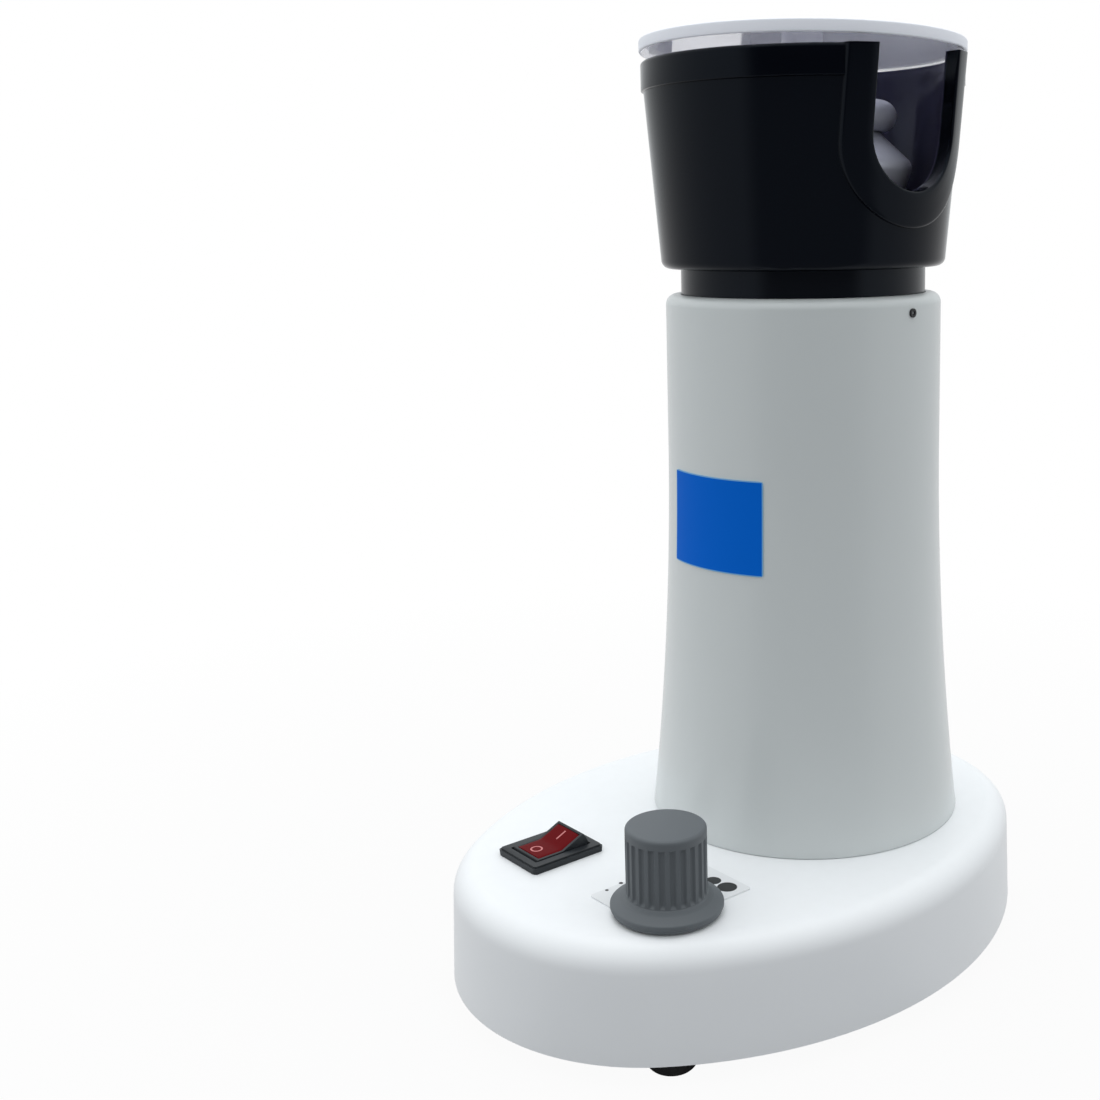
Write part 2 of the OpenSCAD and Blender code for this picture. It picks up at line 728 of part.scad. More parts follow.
// Section of the upper cap: a rounded edge under a low cone with a flat for the nut
module cap_outline(inset) {
  roll = 5.2;
  roll_x = cap_r - roll;
  polygon([
    [0, waist - (inset > 0 ? 1 : 0)], [roll_x - inset * 0.8, waist - (inset > 0 ? 1 : 0)],
    [roll_x, waist + roll], [roll_x, waist + 2 * roll - inset],
    [nut_d / 2 + 1, cap_top - inset], [0, cap_top - inset]
  ]);
  translate([roll_x, waist + roll]) circle(r = roll - inset, $fn = 48);
}

module deflector_cap() {
  color([0.3, 0.31, 0.33]) at_column() difference() {
    rotate_extrude() difference() {
      cap_outline(0);
      cap_outline(spun_t);
    }
    translate([0, 0, cap_top - 5]) cylinder(r = stud_d / 2 + slack, h = 10, $fn = 40);
  }
}

module deflector_stud() {
  color("silver") at_column() translate([0, 0, hub_z]) {
    cylinder(d = stud_d, h = stud_top - hub_z - 1, $fn = 40);
    translate([0, 0, stud_top - hub_z - 1]) cylinder(d1 = stud_d, d2 = stud_d - 1.6, h = 1, $fn = 40);
  }
}

module deflector_nut() {
  color("silver") at_column() translate([0, 0, cap_top]) hex_nut(nut_d, stud_d / 2 + slack, nut_h);
}

// ---- Lid, lifts off the stud ----

module lid() {
  edge = 1;
  color([0.8, 0.82, 0.9, 0.6]) at_column() translate([0, 0, lid_z]) rotate_extrude() {
    square([lid_r - edge, lid_t]);
    translate([0, edge]) square([lid_r, lid_t - 2 * edge]);
    for (z = [edge, lid_t - edge]) translate([lid_r - edge, z]) circle(r = edge, $fn = 32);
  }
}

module lid_hub() {
  color("gray") at_column() translate([0, 0, nut_top]) difference() {
    rotate_extrude() polygon([
      [0, 0], [hub_r - 2, 0], [hub_r - 2, lid_z - nut_top - 2.5], [hub_r, lid_z - nut_top - 1.5],
      [hub_r, lid_z - nut_top], [0, lid_z - nut_top]
    ]);
    translate([0, 0, -1]) cylinder(r = stud_d / 2 + run_fit, h = stud_top - nut_top + 1.5, $fn = 48);
  }
}

// ---- Heater ----

module heater_tube() {
  color("silver") at_column() rotate(col_turn) difference() {
    union() {
      translate([0, 0, heater_z]) ring(heater_r, heater_r - heater_wall, heater_h - heater_flange_t + 1);
      translate([0, 0, heater_z]) ring(heater_r, heater_r - heater_wall - heater_ledge, heater_wall);
      translate([0, 0, heater_top - heater_flange_t])
        ring(col_r - col_wall - 2 * fit, heater_r - heater_wall, heater_flange_t);
    }
    around(3, heater_turn) translate([heater_screw_r, 0, heater_top - heater_flange_t - 1])
      cylinder(d = heater_screw_d + 2 * fit, h = heater_flange_t + 2, $fn = 24);
  }
}

module heater_screws() {
  color("silver") at_column() rotate(col_turn) around(3, heater_turn)
    translate([heater_screw_r, 0, heater_top - heater_flange_t])
      screw(heater_screw_d, heater_flange_t + heater_screw_bite, heater_screw_head);
}

// Height of the coil's centre line at an angle within its first turn
function coil_z(a) = coil_wind_z + coil_pitch * a / 360;

// One board of the mica cross, in the XZ plane, with a notch for each turn on both edges.
// slot_up tells which half of the middle is slotted for the other board.
module mica_board(turn, slot_up) {
  half = heater_r - heater_wall - fit;
  gap = coil_d + 0.6;
  depth = mica_core - coil_r + coil_d / 2 + 0.3;
  rotate(turn) difference() {
    translate([0, mica_t / 2, mica_z]) rotate([90, 0, 0]) linear_extrude(mica_t) difference() {
      union() {
        translate([-mica_core, 0]) square([2 * mica_core, mica_h]);
        for (z = [0, mica_h - mica_tab]) translate([-half, z]) square([2 * half, mica_tab]);
      }
      translate([-mica_t / 2 - fit / 2, slot_up ? mica_h / 2 : -1]) square([mica_t + fit, mica_h / 2 + 1]);
    }
    for (side = [0, 180], n = [0 : coil_turns]) {
      z = coil_z((turn + side + 360) % 360) + n * coil_pitch;
      if (z < coil_z(coil_turns * 360) + 0.1) rotate(side)
        translate([mica_core - depth, -mica_t, z - gap / 2]) cube([depth + 1, 2 * mica_t, gap]);
    }
  }
}

module mica_board_long() {
  color([0.72, 0.62, 0.42]) at_column() rotate(col_turn) mica_board(0, true);
}

module mica_board_cross() {
  color([0.72, 0.62, 0.42]) at_column() rotate(col_turn) mica_board(90, false);
}

// The wound heating wire: one unbroken tube along a helix, with 6 sides
coil_steps = 20;                         // rings in each turn
coil_sides = 6;
coil_rings = coil_turns * coil_steps;
function coil_point(i) = let (a = 360 * i / coil_steps) [coil_r * cos(a), coil_r * sin(a), coil_z(a)];
function coil_ring(i) =
  let (
    a = 360 * i / coil_steps,
    out = [cos(a), sin(a), 0],
    slope = atan2(coil_pitch, 2 * PI * coil_r),
    up = [sin(a) * sin(slope), -cos(a) * sin(slope), cos(slope)]
  )
  [for (k = [0 : coil_sides - 1]) let (b = 360 * k / coil_sides)
    coil_point(i) + coil_d / 2 * (cos(b) * out + sin(b) * up)];

module heating_coil() {
  points = [for (i = [0 : coil_rings]) each coil_ring(i)];
  last = coil_rings * coil_sides;
  // each quad between two rings is split into two triangles
  skin = [for (i = [0 : coil_rings - 1], k = [0 : coil_sides - 1])
    let (a = i * coil_sides + k, b = i * coil_sides + (k + 1) % coil_sides)
      each [[a, a + coil_sides, b], [b, a + coil_sides, b + coil_sides]]];
  ends = [
    for (k = [1 : coil_sides - 2]) [0, k, k + 1],
    for (k = [1 : coil_sides - 2]) [last, last + k + 1, last + k]
  ];
  color([0.55, 0.35, 0.25]) at_column() rotate(col_turn) polyhedron(points = points, faces = concat(skin, ends));
}
echo(coil_gap = coil_pitch * cos(atan2(coil_pitch, 2 * PI * coil_r)) - coil_d);

// Bimetal cut-out clamped to a tab of the mica cross
module thermal_cutout() {
  color("gainsboro") at_column() rotate(col_turn)
    translate([heater_r / 2, -mica_t / 2, mica_z + mica_tab / 2]) rotate([90, 0, 0]) {
      cylinder(d = 6.6, h = 4, $fn = 40);
      translate([0, 0, 4]) cylinder(d = 4, h = 1.2, $fn = 32);
    }
}

// ---- Fan ----

module fan_frame() {
  color([0.16, 0.16, 0.17]) at_column() translate([0, 0, fan_z]) difference() {
    union() {
      for (z = [0, fan_h - fan_flange_t]) translate([0, 0, z]) rounded_plate(fan_w, fan_w, fan_flange_t, 4);
      cylinder(r = fan_w / 2 - 0.1, h = fan_h);
    }
    difference() {
      translate([0, 0, -1]) cylinder(r = fan_bore_r, h = fan_h + 2);
      // motor seat, its struts and the stator
      difference() {
        union() {
          cylinder(r = stator_r + 3, h = 2.5);
          around(4, 20) translate([0, -2, 0]) cube([fan_bore_r + 1, 4, 2.5]);
          cylinder(r = stator_r, h = fan_h - 6);
        }
        translate([0, 0, 1]) cylinder(r = rotor_pin_r + run_fit, h = fan_h, $fn = 40);
      }
    }
    at_corners(fan_hole, fan_hole) translate([0, 0, -1]) cylinder(d = fan_screw_d + 2 * fit, h = fan_h + 2, $fn = 32);
  }
}

// Rotor: a cup over the stator, with twisted blades
module fan_rotor() {
  blade_h = fan_h - 9;
  blade_z = fan_z + 4.5;
  color([0.22, 0.22, 0.24]) at_column() {
    translate([0, 0, blade_z]) difference() {
      cylinder(r = rotor_hub_r, h = blade_h + 2.5);
      translate([0, 0, -1]) cylinder(r = rotor_hub_r - 1.6, h = blade_h + 1.5);
    }
    translate([0, 0, fan_z + 1.4]) cylinder(r = rotor_pin_r, h = blade_h + 4, $fn = 40);
    around(fan_blades) translate([0, 0, blade_z + 0.5])
      linear_extrude(blade_h, twist = 34, slices = 6, segments = 12) blade_section();
  }
}

// A blade's section: swept back along an arc from the hub to just inside the fan's bore
module blade_section() {
  tip = fan_bore_r - 1.5;
  root = rotor_hub_r - 0.8;
  steps = 5;
  sweep = 16;
  function edge(i, side) = let (r = root + (tip - root) * i / steps, a = sweep * pow(i / steps, 2))
    [r * cos(a) - side * sin(a), r * sin(a) + side * cos(a)];
  polygon(concat([for (i = [0 : steps]) edge(i, -0.8)], [for (i = [steps : -1 : 0]) edge(i, 0.8)]));
}

// Screws through the lower flange, between the corners of the frame, into the plate's posts
module fan_screws() {
  color("silver") at_column() at_corners(fan_hole, fan_hole) translate([0, 0, fan_z + fan_flange_t])
    rotate([180, 0, 0]) screw(fan_screw_d, fan_flange_t + fan_z - plate_top - 0.5, fan_screw_head);
}

// ---- Switch ----

module switch_housing() {
  body_z = base_top - switch_body[2];
  color([0.2, 0.2, 0.21]) translate([sw[0], sw[1], 0]) difference() {
    union() {
      translate([0, 0, base_top]) rounded_plate(bezel_w, bezel_l, bezel_t - 0.6, 1.2);
      translate([0, 0, base_top + bezel_t - 0.6]) rounded_plate(bezel_w - 1.2, bezel_l - 1.2, 0.6, 0.9);
      translate([-switch_body[0] / 2, -switch_body[1] / 2, body_z]) cube(switch_body);
    }
    // the well that the rocker sits in
    translate([-rocker_w / 2 - rocker_gap, -rocker_r - rocker_gap, body_z + 2.5])
      cube([rocker_w + 2 * rocker_gap, 2 * (rocker_r + rocker_gap), switch_body[2] + bezel_t]);
    // holes of the rocker's pivot
    translate([0, 0, pivot_z]) rotate([0, 90, 0])
      cylinder(r = pivot_r + run_fit, h = switch_body[0] - 1.6, center = true, $fn = 40);
  }
}

// Outline of the rocker from the side, set in by inset: its ends are round about the pivot, its
// front half is level when off, and its back half rises by the full swing
module rocker_side(inset) {
  crease = rocker_face - pivot_z;
  rise = rocker_r * tan(rocker_swing);
  intersection() {
    circle(r = rocker_r - inset);
    polygon([
      [-rocker_r - 1, -7], [rocker_r + 1, -7], [rocker_r + 1, crease + rise + tan(rocker_swing)],
      [0, crease], [-rocker_r - 1, crease]
    ]);
  }
}

// Stands the side outline up in the YZ plane, w wide in X, on the pivot
module along_pivot(w) {
  translate([sw[0] - w / 2, sw[1], pivot_z]) rotate([90, 0, 90]) linear_extrude(w) children();
}

// The band under the rocker's two faces that the lens fills, from top to bottom lens_t thick
module lens_side(inset) {
  crease = rocker_face - pivot_z;
  rise = (rocker_r + 1) * tan(rocker_swing);
  intersection() {
    circle(r = rocker_r - inset);
    polygon([
      [-rocker_r - 1, crease - lens_t], [0, crease - lens_t], [rocker_r + 1, crease + rise - lens_t],
      [rocker_r + 1, crease + rise + 1], [0, crease + 1], [-rocker_r - 1, crease + 1]
    ]);
  }
}

module switch_rocker() {
  color([0.25, 0.08, 0.08]) difference() {
    union() {
      along_pivot(rocker_w) rocker_side(0);
      translate([sw[0], sw[1], pivot_z]) rotate([0, 90, 0])
        cylinder(r = pivot_r, h = rocker_w + 2, center = true, $fn = 40);
    }
    along_pivot(rocker_w - 2 * lens_rim) lens_side(lens_rim);
  }
}

module rocker_lens() {
  color([0.75, 0.12, 0.14]) intersection() {
    along_pivot(rocker_w - 2 * lens_rim) lens_side(lens_rim);
    along_pivot(rocker_w) rocker_side(0);
  }
}

module switch_terminals() {
  body_z = base_top - switch_body[2];
  color("goldenrod") for (i = [-1 : 1]) translate([sw[0] - 2.4, sw[1] + i * 7 - 0.4, body_z - 8]) difference() {
    cube([4.8, 0.8, 8]);
    translate([2.4, -1, 2.5]) rotate([-90, 0, 0]) cylinder(d = 1.6, h = 3, $fn = 24);
  }
}

// ---- Temperature control ----

// Bare plate with round heat marks that grow clockwise round the knob
module scale_plate() {
  color("white") difference() {
    translate([kn[0] - scale_shift, kn[1] + scale_shift, base_top]) rounded_plate(scale_w, scale_l, scale_t, 1);
    translate([kn[0], kn[1], base_top - 1]) {
      cylinder(r = bushing_r + fit, h = scale_t + 2, $fn = 48);
      for (i = [0 : scale_marks - 1]) let (s = i / (scale_marks - 1), a = 196 - 110 * s)
        rotate(a) translate([dial_r, 0, 1 + scale_t - 0.2]) cylinder(d = 1.2 + 5.2 * pow(s, 1.6), h = 1, $fn = 32);
    }
  }
}

module knob() {
  grip_z = 5.5;
  top_band = 3;
  color([0.33, 0.35, 0.36]) translate([kn[0], kn[1], knob_z]) difference() {
    rotate_extrude() {
      // grip with a rounded top edge
      square([grip_r, knob_h - 1]);
      square([grip_r - 1, knob_h]);
      translate([grip_r - 1, knob_h - 1]) circle(r = 1, $fn = 32);
      // stepped lower edge and domed skirt
      square([skirt_r - 0.5, 1.6]);
      translate([0, 1]) square([skirt_r, 1.6]);
      translate([0, 2.6]) polygon([[0, 0], [skirt_r, 0], [skirt_r - 1.2, 1.4], [grip_r + 1, 2.4], [grip_r, 3.2], [0, 3.2]]);
    }
    // flutes
    around(flutes) translate([grip_r + 0.25 * flute_r, 0, grip_z]) cylinder(r = flute_r, h = knob_h - grip_z - top_band, $fn = 24);
    // room for the washer, the nut and the bushing
    translate([0, 0, -1]) cylinder(r = washer[0] + 1.5, h = bushing_h + 1, $fn = 64);
    translate([0, 0, -1]) cylinder(r = shaft_r + run_fit, h = shaft_top - knob_z + 1, $fn = 48);
  }
}

module pot_shaft() {
  z0 = ceiling - pot[1] + 2;
  color("silver") translate([kn[0], kn[1], z0]) cylinder(r = shaft_r, h = shaft_top - z0, $fn = 48);
}

module pot_body() {
  color([0.3, 0.4, 0.3]) translate([kn[0], kn[1], ceiling - pot[1]]) difference() {
    union() {
      cylinder(r = pot[0], h = pot[1]);
      cylinder(r = bushing_r, h = pot[1] + bushing_h, $fn = 48);
      // solder tags
      for (i = [-1 : 1]) translate([i * 4.5 - 1, 2, 1]) cube([2, pot[0] + 3, 0.8]);
    }
    translate([0, 0, 1.9]) cylinder(r = shaft_r + run_fit, h = pot[1] + bushing_h, $fn = 48);
  }
}

module pot_washer() {
  color("silver") translate([kn[0], kn[1], scale_top]) ring(washer[0], bushing_r + 2 * slack, washer[1]);
}

module pot_nut() {
  color("goldenrod") translate([kn[0], kn[1], scale_top + washer[1]]) hex_nut(2 * pot_nut[0], bushing_r + slack, pot_nut[1]);
}

// ---- Control board ----

module control_board() {
  color([0.1, 0.35, 0.2]) translate([0, board_y, board_z]) difference() {
    rounded_plate(board[0], board[1], board[2], 2);
    at_corners(board_hole[0], board_hole[1]) translate([0, 0, -1])
      cylinder(d = board_screw_d + 2 * fit, h = board[2] + 2, $fn = 24);
  }
}

module board_screws() {
  color("silver") translate([0, board_y, board_top]) at_corners(board_hole[0], board_hole[1])
    rotate([180, 0, 0]) screw(board_screw_d, board_top - plate_top - 1, board_screw_head);
}

// Places on the board; x is a share of its width
function on_board(x, y = 0) = [x * board[0], board_y + y, board_top];

transformer = [24, 20, 20];              // laminated core
transformer_at = on_board(-0.265);

module transformer_core() {
  leg = 5;
  color([0.4, 0.4, 0.42]) translate(transformer_at) difference() {
    translate([-transformer[0] / 2, -transformer[1] / 4, 0]) cube([transformer[0], transformer[1] / 2, transformer[2]]);
    for (i = [-1, 1]) translate([i * (transformer[0] / 2 - leg) - (i > 0 ? leg : 0), -transformer[1], leg - 1])
      cube([leg, 2 * transformer[1], transformer[2] - 2 * leg + 2]);
  }
}

module transformer_winding() {
  leg = 5;
  h = transformer[2] - 2 * leg + 2 - 0.4;
  inner = [transformer[0] - 4 * leg + 0.1, transformer[1] / 2 + 0.1];
  outer = [transformer[0] - 2 * leg - 0.4, transformer[1] - 1];
  color([0.75, 0.4, 0.2]) translate(transformer_at + [0, 0, leg - 1 + 0.2]) difference() {
    union() {
      for (z = [0, h - 1]) translate([0, 0, z]) rounded_plate(outer[0], outer[1], 1, 0.5);
      rounded_plate(outer[0] - 1, outer[1] - 1.6, h, 2);
    }
    translate([-inner[0] / 2, -inner[1] / 2, -1]) cube([inner[0], inner[1], h + 2]);
  }
}

sink = [26, 12, 20];                     // finned heatsink on the board
sink_at = on_board(0.07, 8);
sink_back = 2.4;

module heatsink() {
  fins = 7;
  fin_t = 1.2;
  color("silver") translate(sink_at) {
    translate([-sink[0] / 2, -sink[1] / 2, 0]) cube([sink[0], sink_back, sink[2]]);
    for (i = [0 : fins - 1])
      translate([-sink[0] / 2 + i * (sink[0] - fin_t) / (fins - 1), -sink[1] / 2, 0]) cube([fin_t, sink[1], sink[2]]);
  }
}

module triac() {
  color([0.1, 0.1, 0.1]) translate(sink_at + [0, -sink[1] / 2, 0]) {
    translate([-5, -4.4, 4.5]) cube([10, 4.4, 9]);
    translate([-5, -1.3, 13.5]) cube([10, 1.3, 5.5]);
    for (i = [-1 : 1]) translate([i * 2.5 - 0.4, -2.6, 0]) cube([0.8, 0.6, 4.5]);
  }
}

module capacitors() {
  color([0.15, 0.2, 0.4]) {
    translate(on_board(0, -10)) cylinder(r = 4.8, h = 15, $fn = 40);
    translate(on_board(0.13, -11)) cylinder(r = 3.8, h = 12, $fn = 40);
  }
}

module terminal_block() {
  ways = 3;
  pitch = 6;
  color([0.2, 0.45, 0.3]) translate(on_board(0.35)) difference() {
    translate([-5, -ways * pitch / 2, 0]) cube([10, ways * pitch, 10]);
    for (i = [0 : ways - 1]) translate([0, (i - (ways - 1) / 2) * pitch, 0]) {
      translate([-1, 0, 4]) cylinder(d = 4, h = 10, $fn = 32);
      translate([1, -2, 1.5]) cube([10, 4, 4]);
    }
  }
}

base_housing();
base_plate();
rubber_feet();
foot_screws();
cord_gland();
gland_nut();
column();
column_screws();
front_panel();
cup_neck();
neck_screws();
heat_cup();
outlet_guard();
guard_screws();
deflector_spacer();
deflector_bell();
deflector_cap();
deflector_stud();
deflector_nut();
lid();
lid_hub();
heater_tube();
heater_screws();
mica_board_long();
mica_board_cross();
heating_coil();
thermal_cutout();
fan_frame();
fan_rotor();
fan_screws();
switch_housing();
switch_rocker();
rocker_lens();
switch_terminals();
scale_plate();
knob();
pot_shaft();
pot_body();
pot_washer();
pot_nut();
control_board();
board_screws();
transformer_core();
transformer_winding();
triac();
heatsink();
capacitors();
terminal_block();
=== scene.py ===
"""Looks of the eyeglass frame warmer: a white oval stand with a rocker switch and a knob, a flared
column, and a black notched cup under a lift-off acrylic lid.

The shapes below are written in millimetres, in the frame's axes, and are scaled to metres when
their mesh is made. Every piece rides on the body of the CAD node that it stands for."""

import json
import math

import bmesh
import bpy
import numpy as np
from mathutils import Matrix, Vector


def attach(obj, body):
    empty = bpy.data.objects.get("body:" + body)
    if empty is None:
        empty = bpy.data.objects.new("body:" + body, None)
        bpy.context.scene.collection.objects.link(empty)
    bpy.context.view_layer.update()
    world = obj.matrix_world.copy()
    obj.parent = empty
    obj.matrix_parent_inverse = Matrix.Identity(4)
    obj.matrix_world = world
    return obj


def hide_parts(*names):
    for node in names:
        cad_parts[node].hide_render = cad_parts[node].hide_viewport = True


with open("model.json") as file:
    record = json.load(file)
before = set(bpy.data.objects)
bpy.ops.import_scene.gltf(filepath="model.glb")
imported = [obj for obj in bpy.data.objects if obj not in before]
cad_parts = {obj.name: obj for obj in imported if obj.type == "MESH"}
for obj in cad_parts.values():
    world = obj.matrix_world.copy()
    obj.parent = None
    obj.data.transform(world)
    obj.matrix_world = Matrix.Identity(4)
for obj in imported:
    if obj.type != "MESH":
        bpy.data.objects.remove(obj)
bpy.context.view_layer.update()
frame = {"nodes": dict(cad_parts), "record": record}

MM = 0.001
SHARP_CAD = 32                             # degrees over which an edge of a CAD solid is sharp

# Heights and places of the warmer, as in the part's source
COLUMN_Y = 30.0
STAND_TOP = 42.6
FLARE_TOP = 176.0
COLUMN_TOP = 227.2
CUP_BOTTOM = 236.0
CUP_FLOOR = 239.6
WAIST = 281.1
CAP_TOP = 295.5
RIM = 305.4
LID_BOTTOM = 309.0
PIVOT = 41.6
SWITCH = (-22.2, -67.5)
KNOB = (35.7, -64.2)
KNOB_BOTTOM = 43.4
COLUMN_TURN = math.radians(4)

# Sizes that more than one piece uses, as in the part's source
COLUMN_RADIUS, COLUMN_WALL = 47.7, 3
COLUMN_FLARE = 7.4                         # how much wider the column is at its foot
COLUMN_FILLET = 3.6                        # rounding of its top edge
COLUMN_LIP = 3                             # height of its turned-in lip
PANEL = (40.4, 31.7)                       # width and height of the blank panel
OUTLET = 36.5                              # radius of the air outlet, through the neck and the cup's floor
CUP_FOOT = 48.8                            # outer radius of the cup's cone at its underside
CUP_SLOPE = 5.3 / 59.4                     # and how much it grows with height
CUP_WALL, CUP_CORNER = 4, 3
RIM_OUTER, RIM_INNER = 55.0, 51.0


# ---- Making a mesh from grids of points ----


def quads(rows, columns, first, closed):
    """Four-cornered faces between neighbouring rows and columns of a grid whose first point has the
    index first. Where closed, the last column joins the first."""
    row = np.arange(rows - 1)[:, None] * columns
    column = np.arange(columns if closed else columns - 1)[None, :]
    ahead = (column + 1) % columns
    corners = (row + column, row + ahead, row + columns + ahead, row + columns + column)
    return (first + np.stack(corners, -1)).reshape(-1, 4)


def make(name, grids, look, body, stands_for=(), sharp=38, bands=None):
    """One mesh from several grids of points in millimetres, each given as (points, closed). Points
    that meet are joined, faces are turned outwards, and edges under sharp degrees are smooth.
    bands gives a (u, v) pair for each grid's points, kept as the UV map."""
    points, faces, first = [], [], 0
    for grid, closed in grids:
        rows, columns = grid.shape[:2]
        points.append(grid.reshape(-1, 3))
        faces.append(quads(rows, columns, first, closed))
        first += rows * columns
    mesh = bpy.data.meshes.new(name)
    mesh.from_pydata(np.concatenate(points) * MM, [], np.concatenate(faces).tolist())
    if bands is not None:
        uv = np.concatenate([b.reshape(-1, 2) for b in bands])
        corner = np.empty(len(mesh.loops), np.int32)
        mesh.loops.foreach_get("vertex_index", corner)
        layer = mesh.uv_layers.new(name="UVMap")
        layer.data.foreach_set("uv", uv[corner].astype(np.float32).ravel())
    work = bmesh.new()
    work.from_mesh(mesh)
    bmesh.ops.remove_doubles(work, verts=work.verts, dist=2e-6)
    bmesh.ops.recalc_face_normals(work, faces=work.faces)
    work.to_mesh(mesh)
    work.free()
    mesh.shade_smooth()
    mesh.set_sharp_from_angle(angle=math.radians(sharp))
    return place(name, mesh, look, body, stands_for)


def place(name, mesh, look, body, stands_for=()):
    """Puts a made mesh in the scene, on its body, with its material."""
    mesh.materials.clear()
    mesh.materials.append(look)
    piece = bpy.data.objects.new(name, mesh)
    bpy.context.scene.collection.objects.link(piece)
    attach(piece, body)
    if stands_for:
        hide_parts(*stands_for)
    return piece


def round_bevel(piece, width):
    """Rounds a piece's sharp edges over a width in millimetres."""
    bevel = piece.modifiers.new("edge rounding", "BEVEL")
    bevel.width = width * MM
    bevel.segments = 2
    bevel.limit_method = "ANGLE"
    bevel.angle_limit = math.radians(SHARP_CAD)
    bevel.harden_normals = True
    return piece


def border(grid):
    """The points round the edge of a grid, once round."""
    return np.concatenate([grid[0], grid[1:, -1], grid[-1, -2::-1], grid[-2:0:-1, 0]])


def eased(*corners):
    """A profile of (r, z, radius) corners. A corner with a radius becomes an arc that is tangent to
    both of its sides; one without stays sharp."""
    out = []
    at = np.array([c[:2] for c in corners], float)
    for k, (_, _, radius) in enumerate(corners):
        if not radius:
            out.append(at[k][None])
            continue
        back, on = at[k - 1] - at[k], at[(k + 1) % len(at)] - at[k]
        back, on = back / np.linalg.norm(back), on / np.linalg.norm(on)
        half = math.acos(np.clip(back @ on, -1, 1)) / 2
        centre = at[k] + (back + on) / np.linalg.norm(back + on) * radius / math.sin(half)
        start = at[k] + back * radius / math.tan(half) - centre
        end = at[k] + on * radius / math.tan(half) - centre
        a, b = math.atan2(start[1], start[0]), math.atan2(end[1], end[0])
        turn = (b - a + math.pi) % (2 * math.pi) - math.pi
        steps = a + turn * np.linspace(0, 1, 7)
        out.append(centre + radius * np.stack([np.cos(steps), np.sin(steps)], -1))
    return np.concatenate(out)


def arc(r, z, radius, start, end, steps=16):
    """Points on a circle about (r, z), from one angle to another in degrees."""
    a = np.radians(np.linspace(start, end, steps))
    return np.stack([r + radius * np.cos(a), z + radius * np.sin(a)], -1)


def turned(profile, x=0.0, y=COLUMN_Y, around=160):
    """A lathe surface: every (r, z) of the profile goes round the upright line at (x, y)."""
    profile = np.asarray(profile, float)
    a = np.linspace(0, 2 * math.pi, around, endpoint=False)
    r, z = profile[:, :1], profile[:, 1:]
    return np.stack([x + r * np.cos(a), y + r * np.sin(a), z + 0 * a], -1), True


# ---- Materials ----


def put(tree, kind, settings=None, **inputs):
    """Adds a node. settings are its properties; inputs are values, or sockets to link from, by the
    socket's name with _ for a space, or by i and its number."""
    node = tree.nodes.new(kind)
    for name, value in (settings or {}).items():
        setattr(node, name, value)
    for name, value in inputs.items():
        number = name[1:] if name[0] == "i" and name[1:].isdigit() else None
        socket = node.inputs[int(number)] if number else node.inputs[name.replace("_", " ")]
        if isinstance(value, bpy.types.NodeSocket):
            tree.links.new(value, socket)
        else:
            socket.default_value = value
    return node


def effect(name, inputs, outputs):
    """An empty shader node group with named sockets: (tree, its inputs, its output node)."""
    tree = bpy.data.node_groups.new(name, "ShaderNodeTree")
    for label, kind, value in inputs:
        socket = tree.interface.new_socket(name=label, in_out="INPUT", socket_type=kind)
        if value is not None:
            socket.default_value = value
    for label, kind in outputs:
        tree.interface.new_socket(name=label, in_out="OUTPUT", socket_type=kind)
    return tree, tree.nodes.new("NodeGroupInput").outputs, tree.nodes.new("NodeGroupOutput")


def sums(tree, operation, a, b, clamp=False):
    """A Math node's result."""
    settings = {"operation": operation, "use_clamp": clamp}
    return put(tree, "ShaderNodeMath", settings, i0=a, i1=b).outputs[0]


def blend_colours(tree, share, a, b, kind="MIX"):
    """A Mix node's colour, from a to b by share."""
    node = put(tree, "ShaderNodeMix", {"data_type": "RGBA", "blend_type": kind}, i0=share, i6=a, i7=b)
    return node.outputs[2]


def noise(tree, where, scale, detail=3.0, roughness=0.5):
    """A noise texture's value."""
    return put(
        tree, "ShaderNodeTexNoise", None, Vector=where, Scale=scale, Detail=detail, Roughness=roughness
    ).outputs[0]


FLOAT, COLOUR = "NodeSocketFloat", "NodeSocketColor"


def moulded_surface():
    """A moulded or painted skin: slow drifts of shade and gloss, handling marks, and fine grain."""
    tree, given, out = effect(
        "moulded surface",
        [("Color", COLOUR, None), ("Drift", FLOAT, 0.04), ("Roughness", FLOAT, 0.4),
         ("Smears", FLOAT, 0.08), ("Grain Size", FLOAT, 0.4), ("Grain", FLOAT, 0.3)],
        [("Color", COLOUR), ("Roughness", FLOAT), ("Height", FLOAT)],
    )
    where = put(tree, "ShaderNodeTexCoord").outputs["Object"]
    slow = noise(tree, where, 9.0, 2.0)
    patches = noise(tree, where, 38.0, 4.0, 0.6)
    per_metre = sums(tree, "DIVIDE", 1000.0, given["Grain Size"])
    grain = noise(tree, where, per_metre, 2.0, 0.6)
    # shade: slow and patchy noise, about zero
    mixed = sums(tree, "ADD", slow, sums(tree, "MULTIPLY", patches, 0.6))
    shade = sums(tree, "MULTIPLY", sums(tree, "SUBTRACT", mixed, 0.8), given["Drift"])
    value = put(tree, "ShaderNodeHueSaturation", None, Color=given["Color"],
                Value=sums(tree, "ADD", shade, 1.0))
    tree.links.new(value.outputs[0], out.inputs["Color"])
    smear = sums(tree, "MULTIPLY", sums(tree, "SUBTRACT", patches, 0.5), given["Smears"])
    rough = sums(tree, "ADD", given["Roughness"], smear, clamp=True)
    tree.links.new(rough, out.inputs["Roughness"])
    tree.links.new(sums(tree, "MULTIPLY", grain, given["Grain"]), out.inputs["Height"])
    return tree


